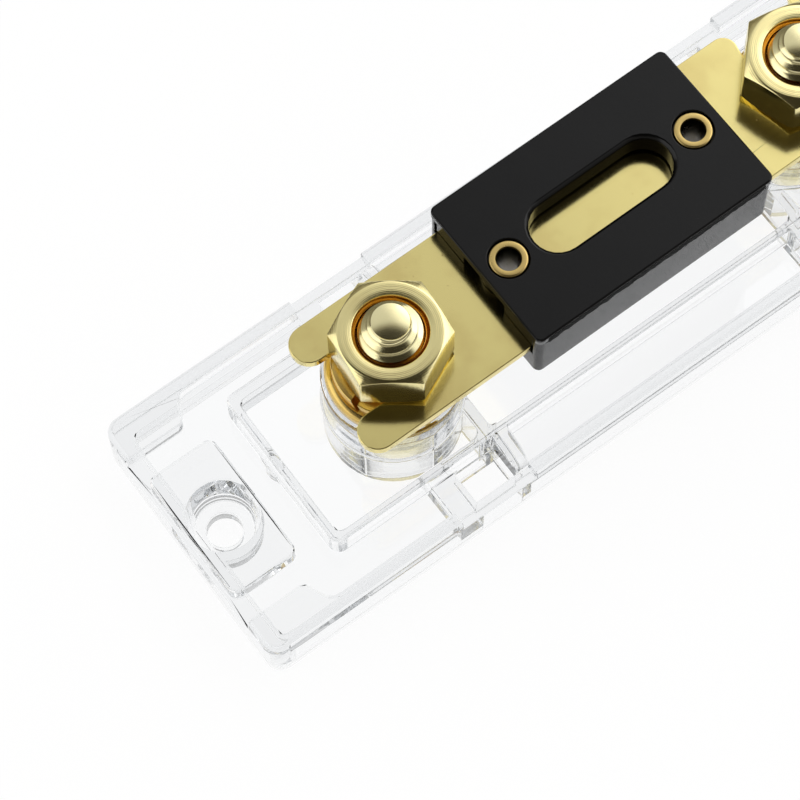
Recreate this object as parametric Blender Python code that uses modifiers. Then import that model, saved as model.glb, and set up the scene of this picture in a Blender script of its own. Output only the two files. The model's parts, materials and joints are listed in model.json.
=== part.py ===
# A fuse holder: a clear moulded base with two captive bolts, and an ANL fuse clamped on them by nuts.
# Frame: the origin is under the middle of the base, +X runs along the fuse, +Z is up. Units are metres.

import math

import bmesh
import bpy

MM = 0.001

# Base: outer form
BASE_LENGTH = 123.2 * MM
BASE_WIDTH = 36.6 * MM
BASE_CORNER_RADIUS = 2.2 * MM
BASE_EDGE_RADIUS = 0.8 * MM
DECK_HEIGHT = 5.8 * MM
DECK_THICKNESS = 2.0 * MM
RAIL_RISE = 2.4 * MM
RAIL_THICKNESS = 1.95 * MM
SIDE_WALL = 2.2 * MM
END_WALL = 2.7 * MM

# Base: blocks at the four corners
BLOCK_LENGTH = 8.4 * MM
BLOCK_DEPTH = 5.6 * MM
BLOCK_CORNER_RADIUS = 1.0 * MM
BLOCK_SWEEP = 1.6 * MM
BLOCK_SWEEP_RADIUS = 1.8 * MM

# Base: raised plateau between the screw pads
PLATEAU_LENGTH = 95.4 * MM
PLATEAU_WIDTH = 23.5 * MM
PLATEAU_RISE = 4.2 * MM
PLATEAU_WALL = 1.15 * MM
PLATEAU_CORNER_RADIUS = 1.2 * MM
PLATEAU_EDGE_RADIUS = 0.35 * MM
BAY_CORNER_RADIUS = 1.0 * MM
BAY_WALL = 1.4 * MM
BAY_WALL_OFFSET = 6.4 * MM
RIB_FOOT = 0.8 * MM

# Base: pedestals that carry the bolts
STUD_SPACING = 61.2 * MM
PEDESTAL_RADIUS = 8.7 * MM
PEDESTAL_RISE = 7.3 * MM
PEDESTAL_EDGE_RADIUS = 0.5 * MM
PEDESTAL_FOOT = 1.6 * MM
BOLT_SEAT_THICKNESS = 3.85 * MM
BOLT_HOLE_RADIUS = 4.25 * MM

# Base: screw pads at the two ends
SCREW_INSET = 5.4 * MM
PAD_LENGTH = 9.6 * MM
PAD_WIDTH = 18.4 * MM
PAD_END_MARGIN = 0.6 * MM
PAD_CORNER_RADIUS = 1.2 * MM
PAD_EDGE_RADIUS = 0.3 * MM
SCREW_HEAD_RADIUS = 4.6 * MM
SCREW_HEAD_TAPER = 0.9 * MM
SCREW_HEAD_DEPTH = 5.1 * MM
SCREW_HOLE_RADIUS = 2.3 * MM
SCREW_CUP_WALL = 1.1 * MM
SCREW_CUP_FOOT = 0.3 * MM

# Base: latch windows for a cover
LATCH_WINDOW_LENGTH = 6.0 * MM
LATCH_WINDOW_OFFSET = 3.6 * MM
LATCH_BAR_LENGTH = 3.3 * MM
LATCH_FRAME_WALL = 1.3 * MM
LATCH_DROP = 1.8 * MM
LATCH_WALL_CLEARANCE = 0.15 * MM
GUSSET_THICKNESS = 2.0 * MM

# Base: round marks of the mould's ejector pins under the deck, and bosses for them at the bays' end walls
EJECTOR_RADIUS = 1.8 * MM
EJECTOR_RISE = 0.2 * MM
EJECTOR_X = 12.0 * MM
EJECTOR_BOSS_RADIUS = 2.1 * MM
EJECTOR_BOSS_GAP = 0.1 * MM
EJECTOR_BOSS_Y = 2.85 * MM

# Bolts, nuts and washers: M8
THREAD_RADIUS = 3.85 * MM
BOLT_LENGTH = 20.0 * MM
BOLT_TIP_RADIUS = 1.9 * MM
BOLT_TIP_LENGTH = 1.8 * MM
HEX_ACROSS_FLATS = 13.0 * MM
HEX_CHAMFER_ANGLE = math.radians(30)
HEX_CHAMFER_INSET = 0.2 * MM
BOLT_HEAD_HEIGHT = 5.3 * MM
HEX_POCKET_CLEARANCE = 0.2 * MM
NUT_HEIGHT = 6.5 * MM
NUT_COUNTERSINK = 0.36 * MM
NUT_TURNS = (math.radians(-5), math.radians(17))
FLAT_WASHER_RADIUS = 8.2 * MM
FLAT_WASHER_THICKNESS = 1.7 * MM
FLAT_WASHER_CHAMFER = 0.7 * MM
SPRING_WASHER_RADIUS = 7.35 * MM
SPRING_WASHER_THICKNESS = 2.0 * MM
SPRING_WASHER_SLIT = 0.9 * MM
SPRING_WASHER_SLANT = math.radians(25)
SPRING_WASHER_TURN = math.radians(200)

# Fuse: where it was clamped on the bolts, within the play of its slots
FUSE_SHIFT_X = 0.77 * MM
FUSE_SHIFT_Y = 0.28 * MM
FUSE_TURN = math.radians(0.57)

# Fuse: blade
BLADE_LENGTH = 81.9 * MM
BLADE_WIDTH = 18.66 * MM
BLADE_THICKNESS = 1.3 * MM
BLADE_CORNER_RADIUS = 2.4 * MM
HOOK_LEAN = math.radians(11)
HOOK_MOUTH_RADIUS = 1.8 * MM
LINK_WIDTH = 11.4 * MM
LINK_LENGTH = 16.0 * MM
LINK_CORNER_RADIUS = 1.0 * MM

# Fuse: body of two halves, held by two hollow rivets
BODY_LENGTH = 35.65 * MM
BODY_HEIGHT = 9.6 * MM
BODY_ABOVE_BLADE = 3.95 * MM
BODY_CORNER_RADIUS = 0.9 * MM
BODY_EDGE_RADIUS = 0.2 * MM
LID_THICKNESS = 1.2 * MM
LID_OVERHANG = 0.1 * MM
TRAY_SIDE_WALL = 1.1 * MM
BLADE_SIDE_GAP = 0.32 * MM
TRAY_END_WALL = 1.5 * MM
TRAY_FLOOR = 1.3 * MM
LID_TAB_OPENING = 7.8 * MM
SIGHT_END_INSET = 3.93 * MM
SIGHT_WIDTH = 6.94 * MM
SIGHT_RIM = 0.45 * MM
SIGHT_COLLAR = 1.2 * MM
SIGHT_COLLAR_RISE = 0.3 * MM
EYELET_INSET = 3.825 * MM
EYELET_BORE_RADIUS = 1.5 * MM
EYELET_WALL = 0.4 * MM
EYELET_FLANGE_RADIUS = 2.4 * MM
EYELET_FLANGE_THICKNESS = 0.5 * MM
EYELET_FLANGE_GAP = 0.2 * MM
EYELET_BOSS_RADIUS = 3.4 * MM

# Clearances, and how far a shape runs past what it cuts or into what it joins
SEAT_GAP = 0.25 * MM
THREAD_GAP = 0.25 * MM
SEAM_GAP = 0.12 * MM
OVERLAP = 0.5 * MM
SINK = 0.3 * MM
WELD_DISTANCE = 0.0005 * MM

# Steps of round shapes
ROUND_STEPS = 48
SMALL_ROUND_STEPS = 28
CORNER_STEPS = 5
RIM_STEPS = 3
ARC_STEP = math.radians(15)
ROLL_STEP = math.radians(45)

# Worked out from the sizes above
HALF_LENGTH = BASE_LENGTH / 2
HALF_WIDTH = BASE_WIDTH / 2
RAIL_TOP = DECK_HEIGHT + RAIL_RISE
RAIL_INNER = HALF_WIDTH - RAIL_THICKNESS
CEILING = DECK_HEIGHT - DECK_THICKNESS
PLATEAU_TOP = DECK_HEIGHT + PLATEAU_RISE
PLATEAU_CEILING = PLATEAU_TOP - PLATEAU_WALL
STUD_X = STUD_SPACING / 2
EJECTOR_Y = (PLATEAU_WIDTH / 2 - PLATEAU_WALL + HALF_WIDTH - SIDE_WALL) / 2
PEDESTAL_TOP = PLATEAU_TOP + PEDESTAL_RISE
POCKET_CEILING = PEDESTAL_TOP - BOLT_SEAT_THICKNESS
HEAD_TOP = POCKET_CEILING - SEAT_GAP
FLAT_WASHER_Z = PEDESTAL_TOP + SEAT_GAP
SPRING_WASHER_Z = FLAT_WASHER_Z + FLAT_WASHER_THICKNESS + SEAT_GAP
BLADE_Z = SPRING_WASHER_Z + SPRING_WASHER_THICKNESS + SEAT_GAP
BLADE_TOP = BLADE_Z + BLADE_THICKNESS
NUT_Z = BLADE_TOP + SEAT_GAP
TRAY_INNER_WIDTH = BLADE_WIDTH + 2 * BLADE_SIDE_GAP
BODY_WIDTH = TRAY_INNER_WIDTH + 2 * (TRAY_SIDE_WALL + LID_OVERHANG)
BODY_TOP = BLADE_TOP + BODY_ABOVE_BLADE
BODY_BOTTOM = BODY_TOP - BODY_HEIGHT
SEAM_Z = BODY_TOP - LID_THICKNESS
STUD_CLEARANCE_RADIUS = THREAD_RADIUS + THREAD_GAP
EYELET_X = BODY_LENGTH / 2 - EYELET_INSET
SIGHT_LENGTH = 2 * (EYELET_X - SIGHT_END_INSET)
EYELET_RADIUS = EYELET_BORE_RADIUS + EYELET_WALL
EYELET_HOLE_RADIUS = EYELET_RADIUS + SEAT_GAP
EYELET_SEAT_RADIUS = EYELET_FLANGE_RADIUS + EYELET_FLANGE_GAP
EYELET_SEAT_DEPTH = EYELET_FLANGE_THICKNESS + EYELET_FLANGE_GAP
HOOK_X = (STUD_X - FUSE_SHIFT_X) * math.cos(FUSE_TURN) - FUSE_SHIFT_Y * math.sin(FUSE_TURN)
HOOK_Y = -(STUD_X - FUSE_SHIFT_X) * math.sin(FUSE_TURN) - FUSE_SHIFT_Y * math.cos(FUSE_TURN)
SIDES = (-1, 1)


# Scene, materials and objects


def clear_scene():
    for thing in list(bpy.data.objects):
        bpy.data.objects.remove(thing, do_unlink=True)


def new_collection(name):
    collection = bpy.data.collections.new(name)
    bpy.context.scene.collection.children.link(collection)
    return collection


def new_material(name, color, roughness, metallic=0.0, transmission=0.0):
    material = bpy.data.materials.new(name)
    material.use_nodes = True
    shader = material.node_tree.nodes["Principled BSDF"]
    shader.inputs["Base Color"].default_value = (*color, 1.0)
    shader.inputs["Roughness"].default_value = roughness
    shader.inputs["Metallic"].default_value = metallic
    shader.inputs["Transmission Weight"].default_value = transmission
    return material


clear_scene()
PARTS = new_collection("anl_fuse_holder")
CUTTERS = new_collection("cutters")


def link_mesh(name, mesh):
    thing = bpy.data.objects.new(name, mesh)
    CUTTERS.objects.link(thing)
    thing.hide_render = True
    thing.display_type = "WIRE"
    return thing


def link_bmesh(name, bm):
    mesh = bpy.data.meshes.new(name)
    bm.to_mesh(mesh)
    bm.free()
    return link_mesh(name, mesh)


def place(thing, x=0.0, y=0.0, z=0.0, turn=0.0):
    thing.location = (x, y, z)
    thing.rotation_euler = (0.0, 0.0, turn)
    return thing


def boolean(target, tool, operation):
    modifier = target.modifiers.new(tool.name, "BOOLEAN")
    modifier.operation = operation
    modifier.solver = "EXACT"
    modifier.object = tool
    return target


def cut(target, *tools):
    for tool in tools:
        boolean(target, tool, "DIFFERENCE")
    return target


def join(target, *tools):
    for tool in tools:
        boolean(target, tool, "UNION")
    return target


def finish(thing, material):
    """Makes a shape one of the object's parts."""
    CUTTERS.objects.unlink(thing)
    PARTS.objects.link(thing)
    thing.hide_render = False
    thing.display_type = "TEXTURED"
    thing.data.materials.clear()
    thing.data.materials.append(material)
    thing.data.set_sharp_from_angle(angle=math.radians(30))
    return thing


# Basic shapes


def slab(name, x, y, z, corner_radius=0.0, edge_radius=0.0):
    """A box between the limits x, y and z, with round upright corners and a round top edge."""
    bm = bmesh.new()
    bmesh.ops.create_cube(bm, size=1.0)
    for vertex in bm.verts:
        vertex.co.x = x[0] if vertex.co.x < 0 else x[1]
        vertex.co.y = y[0] if vertex.co.y < 0 else y[1]
        vertex.co.z = z[0] if vertex.co.z < 0 else z[1]
    if corner_radius:
        upright = [e for e in bm.edges if abs(e.verts[0].co.z - e.verts[1].co.z) > WELD_DISTANCE]
        bevel(bm, upright, corner_radius, CORNER_STEPS)
    if edge_radius:
        round_rim(bm, z[1], edge_radius)
    return link_bmesh(name, bm)


def bevel(bm, edges, radius, segments):
    bmesh.ops.bevel(
        bm, geom=edges, offset=radius, offset_type="OFFSET", segments=segments, profile=0.5, affect="EDGES"
    )


def round_rim(bm, height, radius):
    """Rounds the edges of the flat face that lies at a height."""
    rim = [e for e in bm.edges if all(abs(v.co.z - height) < WELD_DISTANCE for v in e.verts)]
    bevel(bm, rim, radius, RIM_STEPS)


def centred_slab(name, length, width, z, corner_radius=0.0, edge_radius=0.0):
    half_length = length / 2
    half_width = width / 2
    return slab(name, (-half_length, half_length), (-half_width, half_width), z, corner_radius, edge_radius)


def disc(name, radius, z, steps=ROUND_STEPS, top_radius=None, edge_radius=0.0):
    """A round bar about the Z axis between two heights, tapered when the radii differ."""
    bm = bmesh.new()
    upper = radius if top_radius is None else top_radius
    bmesh.ops.create_cone(bm, cap_ends=True, segments=steps, radius1=radius, radius2=upper, depth=z[1] - z[0])
    bmesh.ops.translate(bm, verts=bm.verts, vec=(0.0, 0.0, (z[0] + z[1]) / 2))
    if edge_radius:
        round_rim(bm, z[1], edge_radius)
    return link_bmesh(name, bm)


def hexagon(name, across_flats, z):
    return disc(name, across_flats / math.sqrt(3), z, steps=6)


def turned(name, profile, closed, steps=ROUND_STEPS):
    """A profile of (radius, height) points, top to bottom on its outer side, turned about the Z axis."""
    bm = bmesh.new()
    points = [bm.verts.new((radius, 0.0, height)) for radius, height in profile]
    for start, end in zip(points, points[1:]):
        bm.edges.new((start, end))
    if closed:
        bm.edges.new((points[-1], points[0]))
    thing = link_bmesh(name, bm)
    screw = thing.modifiers.new("turn", "SCREW")
    screw.angle = 2 * math.pi
    screw.steps = steps
    screw.render_steps = steps
    screw.use_merge_vertices = True
    screw.merge_threshold = WELD_DISTANCE
    screw.use_smooth_shade = True
    return thing


def arc(centre, radius, start, end, step=ARC_STEP):
    """Points of an arc, with its ends."""
    steps = max(2, math.ceil(abs(end - start) / step))
    angles = [start + (end - start) * i / steps for i in range(steps + 1)]
    return [(centre[0] + radius * math.cos(a), centre[1] + radius * math.sin(a)) for a in angles]


def rounded_outline(corners):
    """Turns (x, y, radius) corners into an outline whose corners are arcs."""
    outline = []
    for i, (x, y, radius) in enumerate(corners):
        before = corners[i - 1]
        after = corners[(i + 1) % len(corners)]
        back = math.atan2(before[1] - y, before[0] - x)
        ahead = math.atan2(after[1] - y, after[0] - x)
        opening = (ahead - back + math.pi) % (2 * math.pi) - math.pi
        if radius == 0:
            outline.append((x, y))
            continue
        reach = radius / math.sin(abs(opening) / 2)
        middle = back + opening / 2
        centre = (x + reach * math.cos(middle), y + reach * math.sin(middle))
        sweep = math.pi - abs(opening)
        turn = -math.copysign(1, opening)
        first = middle + math.pi - turn * sweep / 2
        outline += arc(centre, radius, first, first + turn * sweep)
    return outline


def plate(name, outline, z):
    """A flat outline made as thick as the two heights are apart."""
    curve = bpy.data.curves.new(name, "CURVE")
    curve.dimensions = "2D"
    curve.fill_mode = "BOTH"
    curve.extrude = (z[1] - z[0]) / 2
    spline = curve.splines.new("POLY")
    spline.points.add(len(outline) - 1)
    for point, (x, y) in zip(spline.points, outline):
        point.co = (x, y, 0.0, 1.0)
    spline.use_cyclic_u = True
    holder = bpy.data.objects.new(name, curve)
    CUTTERS.objects.link(holder)
    bpy.context.view_layer.update()
    mesh = bpy.data.meshes.new_from_object(holder.evaluated_get(bpy.context.evaluated_depsgraph_get()))
    bpy.data.objects.remove(holder, do_unlink=True)
    bm = bmesh.new()
    bm.from_mesh(mesh)
    bmesh.ops.remove_doubles(bm, verts=bm.verts, dist=WELD_DISTANCE)
    bmesh.ops.recalc_face_normals(bm, faces=bm.faces)
    bmesh.ops.translate(bm, verts=bm.verts, vec=(0.0, 0.0, (z[0] + z[1]) / 2))
    bm.to_mesh(mesh)
    bm.free()
    return link_mesh(name, mesh)


def obround(name, length, width, z, top_growth=0.0):
    """A slot with two round ends, wider at its top by top_growth all round."""
    radius = width / 2
    reach = length / 2 - radius
    bm = bmesh.new()
    rings = []
    for height, grown in ((z[0], 0.0), (z[1], top_growth)):
        ends = arc((reach, 0.0), radius + grown, -math.pi / 2, math.pi / 2)
        ends += arc((-reach, 0.0), radius + grown, math.pi / 2, 3 * math.pi / 2)
        rings.append([bm.verts.new((x, y, height)) for x, y in ends])
    low, high = rings
    count = len(low)
    bm.faces.new(low)
    bm.faces.new(high)
    for i in range(count):
        j = (i + 1) % count
        bm.faces.new((low[i], low[j], high[j], high[i]))
    bmesh.ops.recalc_face_normals(bm, faces=bm.faces)
    return link_bmesh(name, bm)


def mirrored(low, high, side):
    """The span from low to high, on the side that -1 or 1 names."""
    return (low, high) if side > 0 else (-high, -low)


# Base


def side_name(side):
    return "left" if side < 0 else "right"


def recess_outline():
    """The deck seen from above: wide between the rails, narrow between the corner blocks, flared at the ends."""
    block_x = HALF_LENGTH - BLOCK_LENGTH
    block_y = HALF_WIDTH - BLOCK_DEPTH
    end_x = HALF_LENGTH + OVERLAP
    quarter = [
        (block_x - BLOCK_SWEEP, RAIL_INNER, BLOCK_SWEEP_RADIUS),
        (block_x, block_y, BLOCK_CORNER_RADIUS),
        (HALF_LENGTH, block_y, BLOCK_CORNER_RADIUS),
        (end_x, block_y + BLOCK_CORNER_RADIUS + OVERLAP, 0.0),
    ]
    right = quarter + [(x, -y, r) for x, y, r in reversed(quarter)]
    left = [(-x, -y, r) for x, y, r in right]
    return rounded_outline(right + left)


def base_plan():
    """The outer block with the deck sunk into it."""
    base = centred_slab(
        "base", BASE_LENGTH, BASE_WIDTH, (0.0, RAIL_TOP), BASE_CORNER_RADIUS, BASE_EDGE_RADIUS
    )
    return cut(base, plate("cut_deck", recess_outline(), (DECK_HEIGHT, RAIL_TOP + OVERLAP)))


def add_raised_forms(base):
    foot = CEILING + SINK
    plateau = centred_slab(
        "add_plateau", PLATEAU_LENGTH, PLATEAU_WIDTH, (foot, PLATEAU_TOP), PLATEAU_CORNER_RADIUS,
        PLATEAU_EDGE_RADIUS,
    )
    join(base, plateau)
    for side in SIDES:
        span = mirrored(HALF_LENGTH - PAD_END_MARGIN - PAD_LENGTH, HALF_LENGTH - PAD_END_MARGIN, side)
        half = PAD_WIDTH / 2
        pad = slab(
            "add_pad_" + side_name(side), span, (-half, half), (foot, RAIL_TOP), PAD_CORNER_RADIUS,
            PAD_EDGE_RADIUS,
        )
        join(base, pad)


def hollow_underside(base):
    inner_x = HALF_LENGTH - END_WALL
    inner_y = HALF_WIDTH - SIDE_WALL
    cut(base, slab("cut_under_deck", (-inner_x, inner_x), (-inner_y, inner_y), (-OVERLAP, CEILING), SIDE_WALL / 2))
    bay_y = PLATEAU_WIDTH / 2 - PLATEAU_WALL
    bay_end = STUD_X - BAY_WALL_OFFSET - BAY_WALL / 2
    middle = centred_slab(
        "cut_middle_bay", 2 * bay_end, 2 * bay_y, (-OVERLAP, PLATEAU_CEILING), BAY_CORNER_RADIUS
    )
    cut(base, middle)
    for side in SIDES:
        span = mirrored(bay_end + BAY_WALL, PLATEAU_LENGTH / 2 - PLATEAU_WALL, side)
        bay = slab(
            "cut_bay_" + side_name(side), span, (-bay_y, bay_y), (-OVERLAP, PLATEAU_CEILING),
            PLATEAU_CORNER_RADIUS,
        )
        cut(base, bay)


def add_bay_walls(base):
    """Cross walls between the bays, down to the foot of the base."""
    centre = STUD_X - BAY_WALL_OFFSET
    half = PLATEAU_WIDTH / 2 - PLATEAU_WALL + SINK
    for side in SIDES:
        span = mirrored(centre - BAY_WALL / 2, centre + BAY_WALL / 2, side)
        wall = slab("add_bay_wall_" + side_name(side), span, (-half, half), (RIB_FOOT, PLATEAU_CEILING + SINK))
        join(base, wall)


def pedestal(side):
    """A round tower that goes through the plateau, hollow below for the bolt's head."""
    span = (PEDESTAL_FOOT, PEDESTAL_TOP)
    tower = disc("add_pedestal_" + side_name(side), PEDESTAL_RADIUS, span, edge_radius=PEDESTAL_EDGE_RADIUS)
    return place(tower, side * STUD_X)


def add_pedestals(base):
    for side in SIDES:
        name = side_name(side)
        pocket_size = HEX_ACROSS_FLATS + 2 * HEX_POCKET_CLEARANCE
        pocket = place(hexagon("cut_pocket_" + name, pocket_size, (-OVERLAP, POCKET_CEILING)), side * STUD_X)
        hole_span = (POCKET_CEILING - SINK, PEDESTAL_TOP + OVERLAP)
        hole = place(disc("cut_bolt_hole_" + name, BOLT_HOLE_RADIUS, hole_span), side * STUD_X)
        join(base, pedestal(side))
        cut(base, pocket, hole)


def add_screw_seats(base):
    """A cup under each pad, with a tapered seat for a screw's head and a hole through its floor."""
    seat_floor = RAIL_TOP - SCREW_HEAD_DEPTH
    floor_radius = SCREW_HEAD_RADIUS - SCREW_HEAD_TAPER
    flare = SCREW_HEAD_TAPER / SCREW_HEAD_DEPTH
    mouth_radius = SCREW_HEAD_RADIUS + OVERLAP * flare
    for side in SIDES:
        name = side_name(side)
        x = side * (HALF_LENGTH - SCREW_INSET)
        cup = disc("add_cup_" + name, floor_radius + SCREW_CUP_WALL, (SCREW_CUP_FOOT, CEILING + SINK))
        seat_span = (seat_floor, RAIL_TOP + OVERLAP)
        seat = disc("cut_screw_seat_" + name, floor_radius, seat_span, top_radius=mouth_radius)
        hole_span = (-OVERLAP, seat_floor + SINK)
        hole = disc("cut_screw_hole_" + name, SCREW_HOLE_RADIUS, hole_span, SMALL_ROUND_STEPS)
        join(base, place(cup, x))
        cut(base, place(seat, x), place(hole, x))


def gusset_outline():
    """A quarter round from the plateau's top edge down to the side rail, in (y, z)."""
    inner = PLATEAU_WIDTH / 2 - SINK
    outer = RAIL_INNER + SINK
    foot = CEILING + SINK
    rail = RAIL_TOP - LATCH_DROP
    radius = min(PLATEAU_TOP - rail, RAIL_INNER - PLATEAU_WIDTH / 2)
    bend = arc((RAIL_INNER - radius, PLATEAU_TOP - radius), radius, 0.0, math.pi / 2)
    return [(inner, foot), (outer, foot), (outer, rail)] + bend + [(inner, PLATEAU_TOP)]


def gusset(name, x, y_side):
    """The gusset's outline stood upright and made as thick as the span x."""
    outline = gusset_outline()
    bm = bmesh.new()
    near = [bm.verts.new((x[0], y_side * y, z)) for y, z in outline]
    face = bm.faces.new(near)
    extruded = bmesh.ops.extrude_face_region(bm, geom=[face])
    moved = [v for v in extruded["geom"] if isinstance(v, bmesh.types.BMVert)]
    bmesh.ops.translate(bm, verts=moved, vec=(x[1] - x[0], 0.0, 0.0))
    bmesh.ops.recalc_face_normals(bm, faces=bm.faces)
    return link_bmesh(name, bm)


def add_latch(base, x_side, y_side):
    """A window through the deck beside the plateau, where a cover's hook snaps in under the side rail."""
    name = side_name(x_side) + ("_front" if y_side < 0 else "_back")
    window_x = STUD_X - LATCH_WINDOW_OFFSET
    near = window_x - LATCH_WINDOW_LENGTH / 2
    far = window_x + LATCH_WINDOW_LENGTH / 2
    wall_y = PLATEAU_WIDTH / 2 + LATCH_WALL_CLEARANCE
    rail_top = RAIL_TOP - LATCH_DROP
    notch_x = mirrored(near - GUSSET_THICKNESS + SINK, far + LATCH_BAR_LENGTH, x_side)
    notch_y = mirrored(RAIL_INNER - SINK, HALF_WIDTH + OVERLAP, y_side)
    cut(base, slab("cut_rail_" + name, notch_x, notch_y, (rail_top, RAIL_TOP + OVERLAP)))
    frame_x = mirrored(near - LATCH_FRAME_WALL, far + LATCH_BAR_LENGTH, x_side)
    frame_y = mirrored(PLATEAU_WIDTH / 2 - PLATEAU_WALL, HALF_WIDTH - SIDE_WALL + SINK, y_side)
    join(base, slab("add_frame_" + name, frame_x, frame_y, (RIB_FOOT, CEILING + SINK)))
    bar_x = mirrored(far - SINK, far + LATCH_BAR_LENGTH, x_side)
    bar_y = mirrored(PLATEAU_WIDTH / 2 - SINK, RAIL_INNER + SINK, y_side)
    join(base, slab("add_bar_" + name, bar_x, bar_y, (CEILING + SINK, rail_top)))
    gusset_x = mirrored(near - GUSSET_THICKNESS, near + SINK, x_side)
    join(base, gusset("add_gusset_" + name, gusset_x, y_side))
    window_y = mirrored(wall_y, RAIL_INNER, y_side)
    window = slab("cut_window_" + name, mirrored(near, far, x_side), window_y, (-OVERLAP, RAIL_TOP + OVERLAP))
    cut(base, window)


def add_ejector_marks(base):
    """A shallow round mark under the deck on each side, and a boss against the end wall of each outer bay."""
    boss_x = PLATEAU_LENGTH / 2 - EJECTOR_BOSS_GAP - EJECTOR_BOSS_RADIUS
    boss_z = (RIB_FOOT, PLATEAU_CEILING + SINK)
    for side in SIDES:
        name = side_name(side)
        mark_z = (CEILING - EJECTOR_RISE, CEILING + SINK)
        mark = disc("add_mark_" + name, EJECTOR_RADIUS, mark_z, SMALL_ROUND_STEPS)
        boss = disc("add_boss_" + name, EJECTOR_BOSS_RADIUS, boss_z, SMALL_ROUND_STEPS)
        join(base, place(mark, side * EJECTOR_X, -side * EJECTOR_Y))
        join(base, place(boss, side * boss_x, -side * EJECTOR_BOSS_Y))


def make_base(material):
    base = base_plan()
    add_raised_forms(base)
    hollow_underside(base)
    add_bay_walls(base)
    for x_side in SIDES:
        for y_side in SIDES:
            add_latch(base, x_side, y_side)
    add_ejector_marks(base)
    add_pedestals(base)
    add_screw_seats(base)
    return finish(base, material)


# Bolts, nuts and washers


def hex_barrel(name, z, low_chamfer, high_chamfer):
    """The turned shape that takes the corners off a hexagon, on one face or on both."""
    face_radius = HEX_ACROSS_FLATS / 2 - HEX_CHAMFER_INSET
    outer = HEX_ACROSS_FLATS / math.sqrt(3) + OVERLAP
    drop = (outer - face_radius) * math.tan(HEX_CHAMFER_ANGLE)
    low, high = z
    profile = [(0.0, high)]
    profile += [(face_radius, high), (outer, high - drop)] if high_chamfer else [(outer, high + OVERLAP)]
    profile += [(outer, low + drop), (face_radius, low)] if low_chamfer else [(outer, low - OVERLAP)]
    profile += [(0.0, low)]
    return turned(name, profile, closed=False)


def make_bolt(side, material):
    name = "stud_bolt_" + side_name(side)
    head_z = (HEAD_TOP - BOLT_HEAD_HEIGHT, HEAD_TOP)
    bolt = hexagon(name, HEX_ACROSS_FLATS, head_z)
    barrel = hex_barrel("trim_" + name, head_z, low_chamfer=True, high_chamfer=False)
    boolean(bolt, place(barrel, side * STUD_X), "INTERSECT")
    tip = HEAD_TOP + BOLT_LENGTH
    slope = (THREAD_RADIUS - BOLT_TIP_RADIUS) / 2
    shank = turned(
        "add_shank_" + side_name(side),
        [
            (0.0, tip),
            (BOLT_TIP_RADIUS, tip - BOLT_TIP_LENGTH * 0.08),
            (BOLT_TIP_RADIUS + slope, tip - BOLT_TIP_LENGTH * 0.45),
            (THREAD_RADIUS, tip - BOLT_TIP_LENGTH),
            (THREAD_RADIUS, HEAD_TOP - SINK),
            (0.0, HEAD_TOP - SINK),
        ],
        closed=False,
    )
    join(place(bolt, side * STUD_X), place(shank, side * STUD_X))
    return finish(bolt, material)


def make_flat_washer(side, material):
    top = FLAT_WASHER_THICKNESS
    edge = FLAT_WASHER_CHAMFER
    washer = turned(
        "flat_washer_" + side_name(side),
        [
            (STUD_CLEARANCE_RADIUS, top),
            (FLAT_WASHER_RADIUS - edge, top),
            (FLAT_WASHER_RADIUS - edge * 0.3, top - edge * 0.3),
            (FLAT_WASHER_RADIUS, top - edge),
            (FLAT_WASHER_RADIUS, 0.0),
            (STUD_CLEARANCE_RADIUS, 0.0),
        ],
        closed=True,
    )
    return finish(place(washer, side * STUD_X, 0.0, FLAT_WASHER_Z), material)


def make_spring_washer(side, material):
    name = "spring_washer_" + side_name(side)
    top = SPRING_WASHER_THICKNESS
    washer = turned(
        name,
        [
            (STUD_CLEARANCE_RADIUS, top),
            (SPRING_WASHER_RADIUS, top),
            (SPRING_WASHER_RADIUS, 0.0),
            (STUD_CLEARANCE_RADIUS, 0.0),
        ],
        closed=True,
    )
    place(washer, side * STUD_X, 0.0, SPRING_WASHER_Z)
    half = SPRING_WASHER_SLIT / 2
    reach = SPRING_WASHER_THICKNESS
    slit = slab("cut_slit_" + name, (0.0, SPRING_WASHER_RADIUS + OVERLAP), (-half, half), (-reach, reach))
    place(slit, side * STUD_X, 0.0, SPRING_WASHER_Z + SPRING_WASHER_THICKNESS / 2)
    slit.rotation_euler = (SPRING_WASHER_SLANT, 0.0, SPRING_WASHER_TURN)
    cut(washer, slit)
    return finish(washer, material)


def make_nut(side, turn, material):
    name = "nut_" + side_name(side)
    span = (0.0, NUT_HEIGHT)
    nut = place(hexagon(name, HEX_ACROSS_FLATS, span), side * STUD_X, 0.0, NUT_Z, turn)
    barrel = hex_barrel("trim_" + name, span, low_chamfer=True, high_chamfer=True)
    boolean(nut, place(barrel, side * STUD_X, 0.0, NUT_Z), "INTERSECT")
    wide = STUD_CLEARANCE_RADIUS + NUT_COUNTERSINK + OVERLAP
    bore = turned(
        "cut_bore_" + side_name(side),
        [
            (0.0, NUT_HEIGHT + OVERLAP),
            (wide, NUT_HEIGHT + OVERLAP),
            (STUD_CLEARANCE_RADIUS, NUT_HEIGHT - NUT_COUNTERSINK),
            (STUD_CLEARANCE_RADIUS, NUT_COUNTERSINK),
            (wide, -OVERLAP),
            (0.0, -OVERLAP),
        ],
        closed=False,
    )
    cut(nut, place(bore, side * STUD_X, 0.0, NUT_Z))
    return finish(nut, material)


# Fuse


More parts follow.
